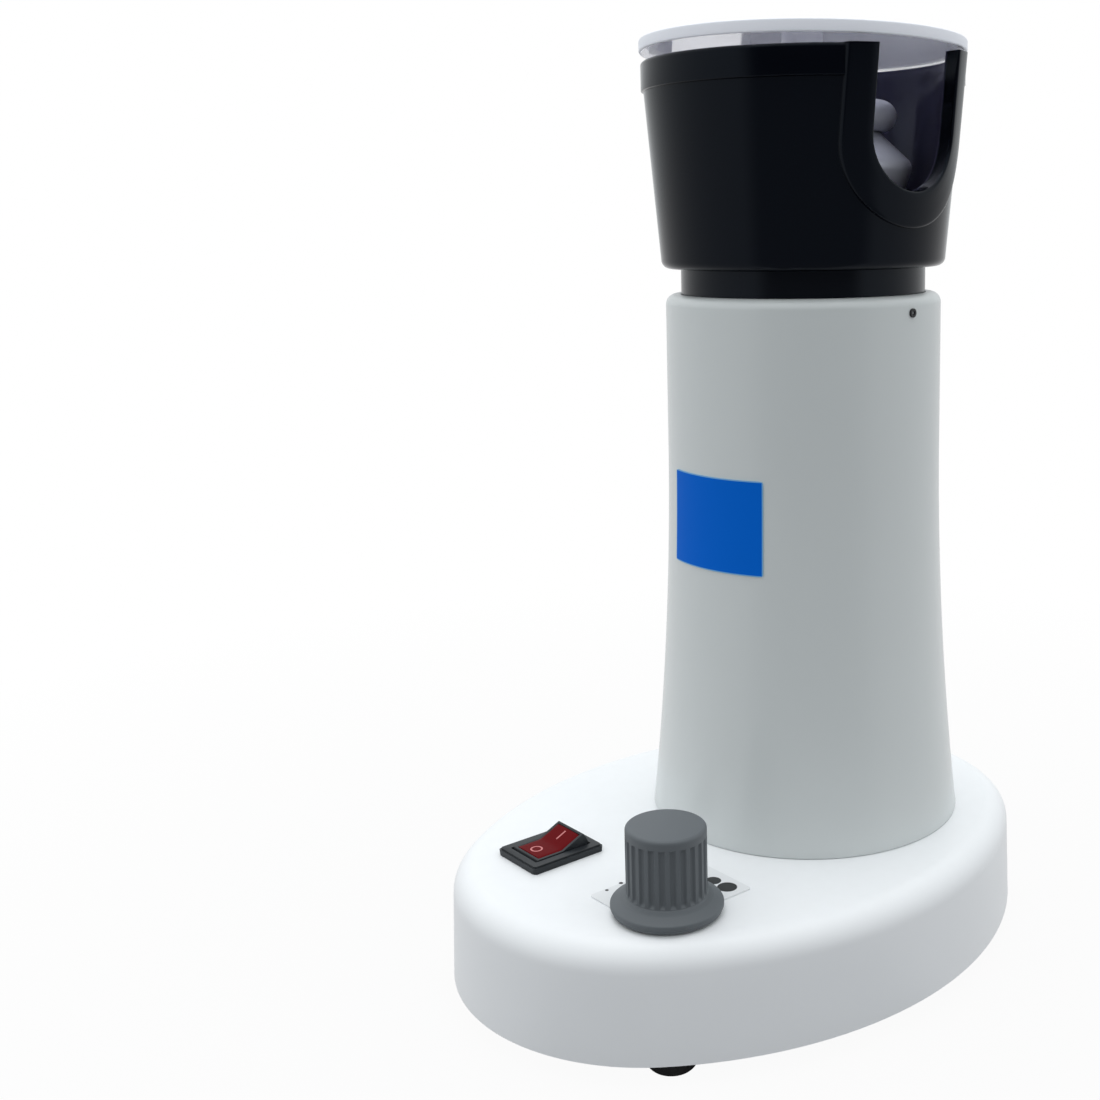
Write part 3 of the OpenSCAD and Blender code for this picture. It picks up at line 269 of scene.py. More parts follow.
def edge_scuffs_and_highlight():
    """Lighter edges, as worn paint and as a painted highlight: where the rounded normal departs from the true
    one, broken by noise.
    """
    tree, given, out = effect(
        "edge scuffs and painted highlight",
        [("Color", COLOUR, None), ("Bare", COLOUR, None), ("Wear", FLOAT, 0.3), ("Width", FLOAT, 0.0006)],
        [("Color", COLOUR), ("Mask", FLOAT)],
    )
    where = put(tree, "ShaderNodeTexCoord").outputs["Object"]
    normal = put(tree, "ShaderNodeNewGeometry").outputs["Normal"]
    rounded = put(tree, "ShaderNodeBevel", {"samples": 4}, Radius=given["Width"]).outputs[0]
    alike = put(tree, "ShaderNodeVectorMath", {"operation": "DOT_PRODUCT"}, i0=normal, i1=rounded)
    edge = put(tree, "ShaderNodeMapRange", None, Value=alike.outputs["Value"], From_Min=0.995, From_Max=0.9,
               To_Min=0.0, To_Max=1.0)
    broken = put(tree, "ShaderNodeMapRange", None, Value=noise(tree, where, 420.0, 3.0, 0.7), From_Min=0.35,
                 From_Max=0.65)
    mask = sums(tree, "MULTIPLY", edge.outputs[0], broken.outputs[0])
    mask = sums(tree, "MULTIPLY", mask, given["Wear"], clamp=True)
    tree.links.new(blend_colours(tree, mask, given["Color"], given["Bare"]), out.inputs["Color"])
    tree.links.new(mask, out.inputs["Mask"])
    return tree


def settled_dust():
    """Pale dust on faces that look up, in soft patches."""
    tree, given, out = effect(
        "settled dust", [("Color", COLOUR, None), ("Dust", FLOAT, 0.1)], [("Color", COLOUR), ("Mask", FLOAT)]
    )
    where = put(tree, "ShaderNodeTexCoord").outputs["Object"]
    up = put(tree, "ShaderNodeSeparateXYZ", None, Vector=put(tree, "ShaderNodeNewGeometry").outputs["Normal"])
    level = put(tree, "ShaderNodeMapRange", None, Value=up.outputs["Z"], From_Min=0.5, From_Max=1.0)
    cloud = put(tree, "ShaderNodeMapRange", None, Value=noise(tree, where, 160.0, 5.0, 0.7), From_Min=0.4,
                From_Max=0.75)
    patchy = sums(tree, "MULTIPLY", level.outputs[0], cloud.outputs[0])
    mask = sums(tree, "MULTIPLY", patchy, given["Dust"], clamp=True)
    tree.links.new(blend_colours(tree, mask, given["Color"], (0.6, 0.59, 0.57, 1.0)), out.inputs["Color"])
    tree.links.new(mask, out.inputs["Mask"])
    return tree


def lathe_rings():
    """Fine rings that a tool leaves on a spun or turned piece: noise along the distance from the
    column's axis and the height, with hardly any change round the piece."""
    tree, given, out = effect(
        "lathe rings", [("Pitch", FLOAT, 0.5), ("Depth", FLOAT, 1.0)], [("Height", FLOAT), ("Shade", FLOAT)]
    )
    where = put(tree, "ShaderNodeTexCoord").outputs["Object"]
    moved = put(tree, "ShaderNodeVectorMath", {"operation": "SUBTRACT"}, i0=where,
                i1=(0.0, COLUMN_Y * MM, 0.0))
    axes = put(tree, "ShaderNodeSeparateXYZ", None, Vector=moved.outputs[0]).outputs
    away = sums(tree, "SQRT", sums(tree, "ADD", sums(tree, "MULTIPLY", axes["X"], axes["X"]),
                                   sums(tree, "MULTIPLY", axes["Y"], axes["Y"])), 0.0)
    line = put(tree, "ShaderNodeCombineXYZ", None, X=away, Y=0.0, Z=axes["Z"]).outputs[0]
    rings = noise(tree, line, sums(tree, "DIVIDE", 1000.0, given["Pitch"]), 4.0, 0.65)
    tree.links.new(sums(tree, "MULTIPLY", rings, given["Depth"]), out.inputs["Height"])
    tree.links.new(rings, out.inputs["Shade"])
    return tree


MOULDED, SCUFFED_AND_HIGHLIGHTED, DUSTY, RINGS = moulded_surface(), edge_scuffs_and_highlight(), settled_dust(), lathe_rings()


def linear(red, green, blue):
    """A display colour of 0 to 255 as the linear colour that the shader takes."""
    c = np.array([red, green, blue]) / 255
    c = np.where(c <= 0.04045, c / 12.92, ((c + 0.055) / 1.055) ** 2.4)
    return (*c.tolist(), 1.0)


def finish(name, colour, roughness, drift=0.05, smears=0.08, grain_size=0.4, grain=0.3, bump=0.02,
           metallic=0.0, wear=0.0, bare=None, edge=0.5, dust=0.0, coat=0.0, coat_roughness=0.1,
           specular=0.5, tint=(1, 1, 1, 1), transmission=0.0, ior=1.5, rings=0.0, ring_pitch=0.5):
    """A material: the moulded surface, then edges of another colour, from worn paint and as a painted
    highlight, and dust where it has them, into one Principled shader. bump is the grain's depth in
    millimetres."""
    material = bpy.data.materials.new(name)
    material.use_nodes = True
    tree = material.node_tree
    shader = tree.nodes["Principled BSDF"]
    skin = put(tree, "ShaderNodeGroup", {"node_tree": MOULDED}, Color=colour, Drift=drift,
               Roughness=roughness, Smears=smears, Grain_Size=grain_size, Grain=grain)
    shown, rough, height = (skin.outputs[k] for k in ("Color", "Roughness", "Height"))
    # edges take another colour: worn paint, and on the cup a painted highlight
    if wear:
        edge_marked = put(tree, "ShaderNodeGroup", {"node_tree": SCUFFED_AND_HIGHLIGHTED}, Color=shown,
                     Bare=bare or (0.7, 0.7, 0.7, 1), Wear=wear, Width=edge * MM)
        shown = edge_marked.outputs["Color"]
    if dust:
        laid = put(tree, "ShaderNodeGroup", {"node_tree": DUSTY}, Color=shown, Dust=dust)
        shown = laid.outputs["Color"]
        rough = sums(tree, "ADD", rough, sums(tree, "MULTIPLY", laid.outputs["Mask"], 0.5), clamp=True)
    if rings:
        cut = put(tree, "ShaderNodeGroup", {"node_tree": RINGS}, Pitch=ring_pitch, Depth=rings)
        height = sums(tree, "ADD", height, cut.outputs["Height"])
        uneven = sums(tree, "MULTIPLY", sums(tree, "SUBTRACT", cut.outputs["Shade"], 0.5), 0.2)
        rough = sums(tree, "ADD", rough, uneven, clamp=True)
    tree.links.new(shown, shader.inputs["Base Color"])
    tree.links.new(rough, shader.inputs["Roughness"])
    bumped = put(tree, "ShaderNodeBump", None, Strength=1.0, Distance=bump * MM, Height=height)
    tree.links.new(bumped.outputs[0], shader.inputs["Normal"])
    for socket, value in (
        ("Metallic", metallic), ("Coat Weight", coat), ("Coat Roughness", coat_roughness),
        ("Specular IOR Level", specular), ("Specular Tint", tint), ("Transmission Weight", transmission),
        ("IOR", ior),
    ):
        shader.inputs[socket].default_value = value
    return material


WHITE_ENAMEL = finish("white enamel", linear(238, 240, 242), 0.42, drift=0.03, smears=0.1, grain_size=0.6,
                      bump=0.012, coat=0.15, coat_roughness=0.25, wear=0.15, bare=linear(250, 250, 250),
                      dust=0.05)
COLUMN_PAINT = finish("column paint", linear(208, 213, 213), 0.45, drift=0.04, smears=0.1, grain_size=0.5,
                      bump=0.014, coat=0.6, coat_roughness=0.2)
PLATE_PAINT = finish("plate paint", linear(92, 94, 96), 0.6, grain_size=0.8, bump=0.03, dust=0.2, wear=0.3)
FOOT_RUBBER = finish("foot rubber", linear(27, 27, 27), 0.8, drift=0.15, grain_size=0.3, bump=0.03, dust=0.15)
BLACK_OXIDE = finish("black oxide steel", linear(46, 46, 48), 0.4, drift=0.1, metallic=0.6, bump=0.006)
ZINC = finish("zinc plating", (0.62, 0.62, 0.6, 1), 0.32, drift=0.1, smears=0.2, metallic=1.0, wear=0.3,
              bare=(0.85, 0.85, 0.84, 1), edge=0.2, bump=0.006)
NYLON = finish("black nylon", linear(30, 30, 32), 0.5, drift=0.1, grain_size=0.5, bump=0.02, wear=0.2,
               bare=linear(80, 80, 82))
GLOSS_TINT = (0.72, 0.84, 1.0, 1.0)        # the black enamel's gloss is a little blue
NECK_PAINT = finish("neck enamel", linear(10, 11, 17), 0.2, drift=0.1, smears=0.12, bump=0.006,
                    specular=0.16, tint=GLOSS_TINT)
# the cup's lighter blue-grey edge colour is a painted highlight on its collars and rim
CUP_ENAMEL = finish("black cup enamel", linear(5, 7, 14), 0.14, drift=0.15, smears=0.12, grain_size=0.7,
                    bump=0.006, specular=0.13, tint=GLOSS_TINT, wear=0.25, bare=linear(34, 36, 42), edge=0.4)
GUARD_WIRE = finish("guard wire", (0.32, 0.32, 0.33, 1), 0.4, drift=0.2, smears=0.2, metallic=1.0)
SPUN = finish("spun aluminium", (0.46, 0.47, 0.54, 1), 0.42, drift=0.15, smears=0.15, metallic=0.3, rings=1.0,
              ring_pitch=0.8, bump=0.02, wear=0.4, bare=(0.7, 0.7, 0.72, 1), edge=0.3)
ACRYLIC = finish("lid acrylic", linear(240, 242, 255), 0.1, drift=0.02, smears=0.03, bump=0.002,
                 transmission=0.8, ior=1.49, dust=0.12)
FROSTED = finish("frosted acrylic edge", linear(246, 248, 255), 0.4, drift=0.03, smears=0.05, grain_size=0.3,
                 bump=0.004, specular=0.3)
HEATER_STEEL = finish("heater steel", (0.5, 0.48, 0.45, 1), 0.35, drift=0.25, smears=0.2, metallic=1.0)
MICA = finish("mica board", linear(176, 158, 118), 0.4, drift=0.3, smears=0.2, grain_size=1.4, grain=0.6,
              bump=0.05)
NICHROME = finish("oxidised heating wire", (0.22, 0.17, 0.15, 1), 0.5, drift=0.3, metallic=1.0, bump=0.02)
CUTOUT = finish("cut-out case", (0.75, 0.75, 0.74, 1), 0.3, metallic=1.0)
FAN_PLASTIC = finish("fan plastic", linear(38, 38, 40), 0.55, drift=0.1, grain_size=0.6, bump=0.02, dust=0.2)
SWITCH_PLASTIC = finish("switch plastic", linear(34, 38, 42), 0.48, drift=0.06, grain_size=0.35, bump=0.02,
                        wear=0.25, bare=linear(80, 83, 86), edge=0.3, specular=0.35)
LENS = finish("red lens", linear(100, 18, 22), 0.35, drift=0.08, bump=0.004, specular=0.02)
BRASS = finish("brass", (0.72, 0.55, 0.25, 1), 0.3, drift=0.15, metallic=1.0)
SCALE_WHITE = finish("scale plate", linear(226, 228, 230), 0.35, bump=0.004, wear=0.5,
                     bare=linear(150, 152, 154), edge=0.3)
PRINT_BLACK = finish("printed black", linear(18, 20, 22), 0.4, bump=0.004)
PRINT_PALE = finish("pale mark", linear(205, 128, 128), 0.45, bump=0.004, specular=0.1)
KNOB_PLASTIC = finish("knob plastic", linear(95, 100, 104), 0.52, drift=0.06, smears=0.08, grain_size=0.3,
                      bump=0.016, wear=0.2, bare=linear(124, 128, 132), edge=0.25, specular=0.32)
STEEL = finish("shaft steel", (0.6, 0.6, 0.6, 1), 0.28, metallic=1.0)
POT_CASE = finish("control case", linear(120, 124, 120), 0.5)
BOARD = finish("circuit board", linear(28, 92, 58), 0.35, drift=0.15, grain_size=1.5, grain=0.5, bump=0.02,
               coat=0.3)
CORE = finish("core steel", (0.28, 0.28, 0.3, 1), 0.5, drift=0.2, metallic=1.0, grain_size=0.5, grain=0.6,
              bump=0.04)
WINDING = finish("winding tape", linear(198, 140, 62), 0.45, drift=0.15, bump=0.02)
EPOXY = finish("black epoxy", linear(26, 26, 27), 0.5, grain_size=0.3, bump=0.02)
SINK = finish("heatsink", (0.58, 0.59, 0.6, 1), 0.4, drift=0.1, metallic=1.0)
SLEEVE = finish("capacitor sleeve", linear(38, 52, 116), 0.3, drift=0.05)
BLOCK = finish("terminal block", linear(44, 132, 88), 0.45, drift=0.08)


def panel_film():
    """The column's blank blue panel: a satin film with a paler cut edge, drawn from the panel's own
    UV, which runs from 0 to 1 across and up it."""
    material = finish("blue panel film", linear(0, 102, 212), 0.5, drift=0.06, smears=0.12, bump=0.006,
                      specular=0.05)
    tree = material.node_tree
    shader = tree.nodes["Principled BSDF"]
    blue = shader.inputs["Base Color"].links[0].from_socket
    own = put(tree, "ShaderNodeUVMap", {"uv_map": "UVMap"}).outputs[0]
    uv = put(tree, "ShaderNodeSeparateXYZ", None, Vector=own)
    nearest = 1.0                              # millimetres to the nearest side, up to 1
    for axis, size in zip("XY", PANEL):
        off_middle = sums(tree, "ABSOLUTE", sums(tree, "SUBTRACT", uv.outputs[axis], 0.5), 0.0)
        inward = sums(tree, "SUBTRACT", 0.5, off_middle)
        nearest = sums(tree, "MINIMUM", nearest, sums(tree, "MULTIPLY", inward, size))
    pale = put(tree, "ShaderNodeMapRange", None, Value=nearest, From_Min=0.45, From_Max=0.25)
    edged = blend_colours(tree, pale.outputs[0], blue, linear(120, 178, 220))
    tree.links.new(edged, shader.inputs["Base Color"])
    return material


PANEL_FILM = panel_film()


def painted_light_inside_cup():
    """Painted light inside the cup: the inner side of its wall is a lighter, bluer black. The mask is the
    distance from the column's axis against the middle of the cup's wall at that height."""
    tree = CUP_ENAMEL.node_tree
    shader = tree.nodes["Principled BSDF"]
    outside = shader.inputs["Base Color"].links[0].from_socket
    where = put(tree, "ShaderNodeTexCoord").outputs["Object"]
    axes = put(tree, "ShaderNodeSeparateXYZ", None, Vector=where).outputs
    away = put(tree, "ShaderNodeCombineXYZ", None, X=axes["X"], Z=0.0,
               Y=sums(tree, "SUBTRACT", axes["Y"], COLUMN_Y * MM)).outputs[0]
    radius = put(tree, "ShaderNodeVectorMath", {"operation": "LENGTH"}, i0=away).outputs["Value"]
    rise = sums(tree, "SUBTRACT", axes["Z"], CUP_BOTTOM * MM)
    middle = sums(tree, "ADD", sums(tree, "MULTIPLY", rise, CUP_SLOPE), (CUP_FOOT - CUP_WALL / 2) * MM)
    within = put(tree, "ShaderNodeMapRange", None, Value=sums(tree, "SUBTRACT", middle, radius),
                 From_Min=1.2 * MM, From_Max=1.8 * MM).outputs[0]
    # painted light: a lighter, bluer black inside the cup
    tree.links.new(blend_colours(tree, within, outside, linear(60, 59, 78)), shader.inputs["Base Color"])


painted_light_inside_cup()


# ---- Column ----


def column_radius(z):
    """Outer radius of the column: straight above the flare, and below it a large arc that is tangent
    there and wider by the flare at the foot."""
    rise = FLARE_TOP - STAND_TOP
    bend = (rise**2 + COLUMN_FLARE**2) / (2 * COLUMN_FLARE)
    below = np.maximum(FLARE_TOP - np.asarray(z, float), 0)
    return COLUMN_RADIUS + bend - np.sqrt(bend**2 - below**2)


def column_tube():
    """The column as a lathe surface: up the flared outside, over a rounded top edge and the lip, and
    down the inside to the foot's flange."""
    edge, lip_r, flange_r = 0.6, 42.5, 40
    under_fillet, under_lip = COLUMN_TOP - COLUMN_FILLET, COLUMN_TOP - COLUMN_LIP
    flange_top = STAND_TOP + 5
    z = np.linspace(STAND_TOP + edge, under_fillet, 70)
    outside = np.stack([column_radius(z), z], -1)
    foot = column_radius(STAND_TOP) - edge
    lip = eased((44.0, COLUMN_TOP, 0), (lip_r, COLUMN_TOP, 0.4), (lip_r, under_lip, 0),
                (COLUMN_RADIUS - COLUMN_WALL, under_lip, 0))
    inside_z = np.linspace(under_lip, flange_top, 50)
    inside = np.stack([column_radius(inside_z) - COLUMN_WALL, inside_z], -1)
    flange = np.array([(flange_r, flange_top), (flange_r, STAND_TOP), (foot, STAND_TOP)])
    profile = np.concatenate([
        arc(foot, STAND_TOP + edge, edge, -90, 0, 5), outside[1:],
        arc(COLUMN_RADIUS - COLUMN_FILLET, under_fillet, COLUMN_FILLET, 0, 90, 14)[1:], lip, inside, flange])
    make("column_tube", [turned(profile, around=256)], COLUMN_PAINT, "stand", ["column"])


def blank_panel():
    """A thin film wrapped on the column: its angle and height run over a rectangle with rounded
    corners, and its radius follows the column, 0.3 mm proud."""
    angle = COLUMN_TURN - math.pi / 2 + math.radians(1.5)
    half_wide, half_high, corner = PANEL[0] / 2, PANEL[1] / 2, 0.8
    middle = STAND_TOP + 94 + half_high
    across = np.concatenate([[-1, -0.998], np.linspace(-0.99, 0.99, 40), [0.998, 1]])
    up = np.linspace(-1, 1, 24)
    x, v = np.meshgrid(across * half_wide, up)
    # corners: the height limit falls near both sides
    shy = np.clip(np.abs(x) - (half_wide - corner), 0, corner)
    z = v * (half_high - corner + np.sqrt(corner**2 - shy**2))
    height = middle + z
    around = angle + x / COLUMN_RADIUS
    base = column_radius(height)
    rows = []
    for proud in (0.02, 0.32):
        r = base + proud
        rows.append(np.stack([r * np.cos(around), COLUMN_Y + r * np.sin(around), height], -1))
    back, front = rows
    uv = np.stack([x / (2 * half_wide) + 0.5, z / (2 * half_high) + 0.5], -1)
    side, side_uv = np.stack([border(front), border(back)]), np.stack([border(uv)] * 2)
    make("blank_panel", [(front, False), (back, False), (side, True)], PANEL_FILM,
         "stand", ["front_panel"], bands=[uv, uv, side_uv])


def neck():
    """The dark neck: a lathe ring from inside the column up to the cup's floor, with a flange
    under the column's lip."""
    foot, shoulder = COLUMN_TOP - 14, COLUMN_TOP - COLUMN_LIP
    spigot_r, neck_r = 44.4, 42.3
    profile = eased(
        (OUTLET, foot, 0), (spigot_r, foot, 0.5), (spigot_r, shoulder, 0.3), (neck_r, shoulder, 0),
        (neck_r, CUP_BOTTOM, 0), (OUTLET, CUP_BOTTOM, 0), (OUTLET, foot, 0))
    make("neck_ring", [turned(profile, around=200)], NECK_PAINT, "stand", ["cup_neck"])


# ---- Cup ----

NOTCH_HALF, NOTCH_Z = 18.5, 279.1          # the notch: half its width, and its round bottom's centre
COLLAR_WIDE, COLLAR_PROUD = 9.5, 1.5
COLLAR_DROP = 2.2                          # how far its outer edge's centre lies below the notch's
UNDER_COLLAR = 4.5                         # how far the wall's outside ends under the collar


def cup_radius(z):
    """Outer radius of the cup's cone at a height."""
    return CUP_FOOT + (np.asarray(z, float) - CUP_BOTTOM) * CUP_SLOPE


def notch_opening(z, half, centre):
    """Half the width of a U of that half-width and centre height: nothing under its bottom, a
    circle's chord up to its centre, and straight above."""
    drop = np.clip(centre - np.asarray(z, float), 0, None)
    return np.sqrt(np.clip(half**2 - drop**2, 0, None))


def cup_wall():
    """The cup between its two notches. A profile goes round the wall's section: underside, outside,
    rim and inside. Each of its points sweeps the arc that the notches leave at its height, so the
    rows are level arcs: angle = the notch's half-angle there, to 180 degrees less it."""
    low_corner, high_corner, band_z = CUP_BOTTOM + CUP_CORNER, CUP_FLOOR + CUP_CORNER, RIM - 10
    wide = NOTCH_HALF + UNDER_COLLAR
    # heights on the outside: up to the notch's bottom, along its round part, and up to the band
    round_z = NOTCH_Z - wide * np.cos(np.linspace(0, math.pi / 2, 24))
    out_z = np.concatenate([
        np.linspace(low_corner, round_z[0] - 0.01, 12), round_z, np.linspace(NOTCH_Z, band_z, 8)[1:]])
    band = eased((54.1, band_z, 0), (RIM_OUTER, RIM - 9.6, 0.3), (RIM_OUTER, RIM, 1.2), (RIM_INNER, RIM, 0.5),
                 (RIM_INNER, RIM - 1, 0))
    # heights on the inside, which leaves exactly the notch
    round_z = NOTCH_Z - NOTCH_HALF * np.cos(np.linspace(math.pi / 2, 0, 24))
    in_z = np.concatenate([
        np.linspace(RIM - 1.2, NOTCH_Z, 10)[:-1], round_z, np.linspace(round_z[-1] - 0.01, high_corner, 8)])
    corner_r = cup_radius(low_corner) - CUP_CORNER
    inner_r = cup_radius(high_corner) - CUP_WALL - CUP_CORNER
    outside = np.concatenate([
        [(OUTLET, CUP_FLOOR), (OUTLET, CUP_BOTTOM)], arc(corner_r, low_corner, CUP_CORNER, -90, 0, 9)[:-1],
        np.stack([cup_radius(out_z), out_z], -1)])
    inside = np.concatenate([
        np.stack([cup_radius(in_z) - CUP_WALL, in_z], -1),
        arc(inner_r, high_corner, CUP_CORNER, 0, -90, 9)[1:], [(OUTLET, CUP_FLOOR)]])
    profile = np.concatenate([outside, band, inside])
    r, z = profile[:, :1], profile[:, 1:]
    half = np.where(np.arange(len(profile)) < len(outside), wide, NOTCH_HALF)[:, None]
    width = notch_opening(z, half, NOTCH_Z)
    # over the rim's top the gap narrows from under the collar to the notch
    rim_share = np.clip((r - RIM_INNER) / (RIM_OUTER - RIM_INNER), 0, 1)
    width = np.where(z > RIM - 1.3, NOTCH_HALF + rim_share * UNDER_COLLAR, width)
    gap = np.arcsin(np.clip(width / r, 0, 1))
    t = np.linspace(0, 1, 97)
    grids = []
    for side in (1, -1):
        angle = side * (gap + t * (math.pi - 2 * gap))
        grids.append((np.stack([r * np.cos(angle), COLUMN_Y + r * np.sin(angle), z + 0 * angle], -1), False))
    return grids


def notch_collar(side):
    """The raised frame of a notch: a section of (distance out from the notch's edge, height proud of
    the cone) is carried down one side of the U, round its bottom and up the other, and each point is
    pushed level, along X, onto the cone."""
    e = 0.9
    section = np.concatenate([
        [(0.0, -4.0), (0.0, -2.0), (0.0, 0.0)],
        arc(e, COLLAR_PROUD - e, e, 180, 90, 6), [(3.0, COLLAR_PROUD), (6.0, COLLAR_PROUD)],
        arc(COLLAR_WIDE - e, COLLAR_PROUD - e, e, 90, 0, 6), [(COLLAR_WIDE, -0.5)]])
    out, proud = section[:, 0], section[:, 1]
    bottom = np.linspace(-math.pi / 2, math.pi / 2, 61)
    straight = np.linspace(RIM, NOTCH_Z, 16)[:-1]
    centre = NOTCH_Z - COLLAR_DROP * out / COLLAR_WIDE
    half = NOTCH_HALF + out
    y_round = half * np.sin(bottom)[:, None]
    z_round = centre - half * np.cos(bottom)[:, None]
    rise = (straight[:, None] - NOTCH_Z) / (RIM - NOTCH_Z)
    z_left = centre + (RIM - centre) * rise
    y_left = -half + 0 * z_left
    y = np.concatenate([y_left, y_round, -y_left[::-1]])
    z = np.concatenate([z_left, z_round, z_left[::-1]])
    x = np.sqrt(np.maximum((cup_radius(z) + proud) ** 2 - y**2, 1))
    grid = np.stack([side * x, COLUMN_Y + y, z], -1)
    caps = []
    for end in (grid[0], grid[-1]):
        # flat top of the collar, between its section and the wall's inner edge
        inner = end[:1] + np.linspace(0, 1, len(end))[:, None] * (end[-1:] - end[:1])
        caps.append((np.stack([end, inner]), False))
    return [(grid, False), *caps]


def cup():
    """The cup and the frames of its two notches are one black piece."""
    make("notched_cup", [*cup_wall(), *notch_collar(1), *notch_collar(-1)], CUP_ENAMEL, "stand",
         ["heat_cup"], sharp=42)


# ---- Deflector and lid ----


def deflector():
    """Two spun shells. The lower bell is a cone that widens from the waist into a rolled rim; the
    upper cap is a rolled edge under a low cone. Each is a lathe surface, out and back one wall in."""
    wall, bore = 1.5, 2.6
    bell_z = WAIST - 22

    def bell(inset):
        tip = 4 - inset
        return np.concatenate([
            [(bore, WAIST - inset), (26.4 - inset, WAIST - inset)], arc(33.4, bell_z + 9.8, tip, 49, -18, 12),
            [(34.2 - inset * 0.6, bell_z)]])

    def cap(inset):
        tip = 5.2 - inset
        return np.concatenate([
            [(bore, CAP_TOP - inset), (5.6, CAP_TOP - inset)], arc(27.0, WAIST + 5.2, tip, 84, -88, 18)])

    for name, half, node in (
        ("deflector_lower_bell", bell, "deflector_bell"), ("deflector_upper_cap", cap, "deflector_cap"),
    ):
        section = np.concatenate([half(0), half(wall)[::-1], half(0)[:1]])
        make(name, [turned(section, around=180)], SPUN, "stand", [node])


LID_LEAN = math.tan(math.radians(1.6))     # the lid lies askew on its stud, lower at the back
LID_DROP = 1.6                             # how much lower its middle then is


def leaned(y, z):
    """Height z after the lid has settled askew: lower by the drop, and by its lean towards the back."""
    return z - LID_DROP - (y - COLUMN_Y) * LID_LEAN


def lid_disc():
    """The lid: a clear lathe disc 4 mm thick, inside the thin frosted ring that is its cut edge."""
    edge, corner, seam = 55.5, 0.6, 54.8
    top = LID_BOTTOM + 4
    disc = [(0, LID_BOTTOM), (seam, LID_BOTTOM), (seam, top), (0, top)]
    ring = eased((seam + 0.02, LID_BOTTOM, 0), (edge, LID_BOTTOM, corner), (edge, top, corner),
                 (seam + 0.02, top, 0), (seam + 0.02, LID_BOTTOM, 0))
    for name, profile, look, stands_for in (
        ("clear_lid", disc, ACRYLIC, ["lid"]), ("frosted_lid_edge", ring, FROSTED, ()),
    ):
        grid, closed = turned(profile, around=256)
        grid[..., 2] = leaned(grid[..., 1], grid[..., 2])
        make(name, [(grid, closed)], look, "lid", stands_for)


# ---- Controls ----


FLUTES = 24


def fluted_knob():
    """The knob as one surface: a lathe profile whose radius is cut, between the plain band and the
    skirt, by round flutes: cut = sqrt(1 - a^2) - 0.25, a = arc distance to the nearest flute."""
    top = KNOB_BOTTOM + 27
    low, high = KNOB_BOTTOM + 5.5, top - 3.0
    grip_z = np.concatenate([
        [low - 0.2, low, low + 0.5], np.linspace(low + 1, high - 0.8, 12), [high - 0.3, high, high + 0.15]])
    grip = np.stack([12.6 + 0 * grip_z, grip_z], -1)
    profile = np.concatenate([
        eased((0, KNOB_BOTTOM + 21, 0), (3.05, KNOB_BOTTOM + 21, 0), (3.05, KNOB_BOTTOM + 5.5, 0),
              (7.7, KNOB_BOTTOM + 5.5, 0), (7.7, KNOB_BOTTOM, 0.3), (17.1, KNOB_BOTTOM, 0.4),
              (17.1, KNOB_BOTTOM + 1.1, 0.3), (17.6, KNOB_BOTTOM + 1.3, 0.3), (17.6, KNOB_BOTTOM + 2.6, 0.7),
              (14.4, KNOB_BOTTOM + 4.4, 1.5), (12.9, KNOB_BOTTOM + 4.9, 0.8)),
        grip, eased((12.6, top - 1.6, 0), (12.6, top, 1.1), (0, top, 0))])
    around = FLUTES * 18
    grid, _ = turned(profile, KNOB[0], KNOB[1], around)
    a = np.linspace(0, 2 * math.pi, around, endpoint=False)
    near = (a * FLUTES / (2 * math.pi) + 0.5) % 1 - 0.5
    cut = np.clip(np.sqrt(np.clip(1 - (near * 3.3) ** 2, 0, 1)) - 0.25, 0, None)
    z, r = profile[:, 1], profile[:, 0]
    window = np.clip((z - low) / 0.8, 0, 1) * np.clip((high - z) / 0.4, 0, 1) * (r > 12.5)
    shrink = 1 - (window[:, None] * cut * 1.05) / np.maximum(r[:, None], 1)
    grid[..., 0] = KNOB[0] + (grid[..., 0] - KNOB[0]) * shrink
    grid[..., 1] = KNOB[1] + (grid[..., 1] - KNOB[1]) * shrink
    make("fluted_knob", [(grid, True)], KNOB_PLASTIC, "knob", ["knob"], sharp=30)


def heat_marks():
    """Printed round marks on the scale plate: flat discs that grow round the knob, laid in their
    recesses."""
    dial_r, recess, face = 23.3, 42.91, 43.08
    share = np.linspace(0, 1, 8)
    angle = np.radians(196 - 110 * share)
    size = (1.2 + 5.2 * share**1.6) / 2 - 0.02
    a = np.linspace(0, 2 * math.pi, 32, endpoint=False)
    grids = []
    for spot, radius in zip(angle, size):
        x, y = KNOB[0] + dial_r * math.cos(spot), KNOB[1] + dial_r * math.sin(spot)
        section = np.array([(0, recess), (radius, recess), (radius, face), (0, face)])
        r, z = section[:, :1], section[:, 1:]
        grids.append((np.stack([x + r * np.cos(a), y + r * np.sin(a), z + 0 * a], -1), True))
    make("heat_marks", grids, PRINT_BLACK, "stand")


ROCKER_TILT = math.tan(math.radians(24))   # slope of the rocker's back half
SOLID_TILT = math.tan(math.radians(20))    # and of the CAD solid's
LENS_HALF = 6.25                           # half the lens's width
LENS_FACE, LENS_DOME = 0.12, 0.1           # the lens over the rocker's face, and its dome across


def rocker_height(y):
    """Height of the rocker's face above its pivot: level in front, rising by the full swing behind,
    with a soft crease: (y + sqrt(y^2 + s^2)) / 2 in place of a sharp bend."""
    return 3.8 + ROCKER_TILT * (y + np.sqrt(y**2 + 0.8**2)) / 2


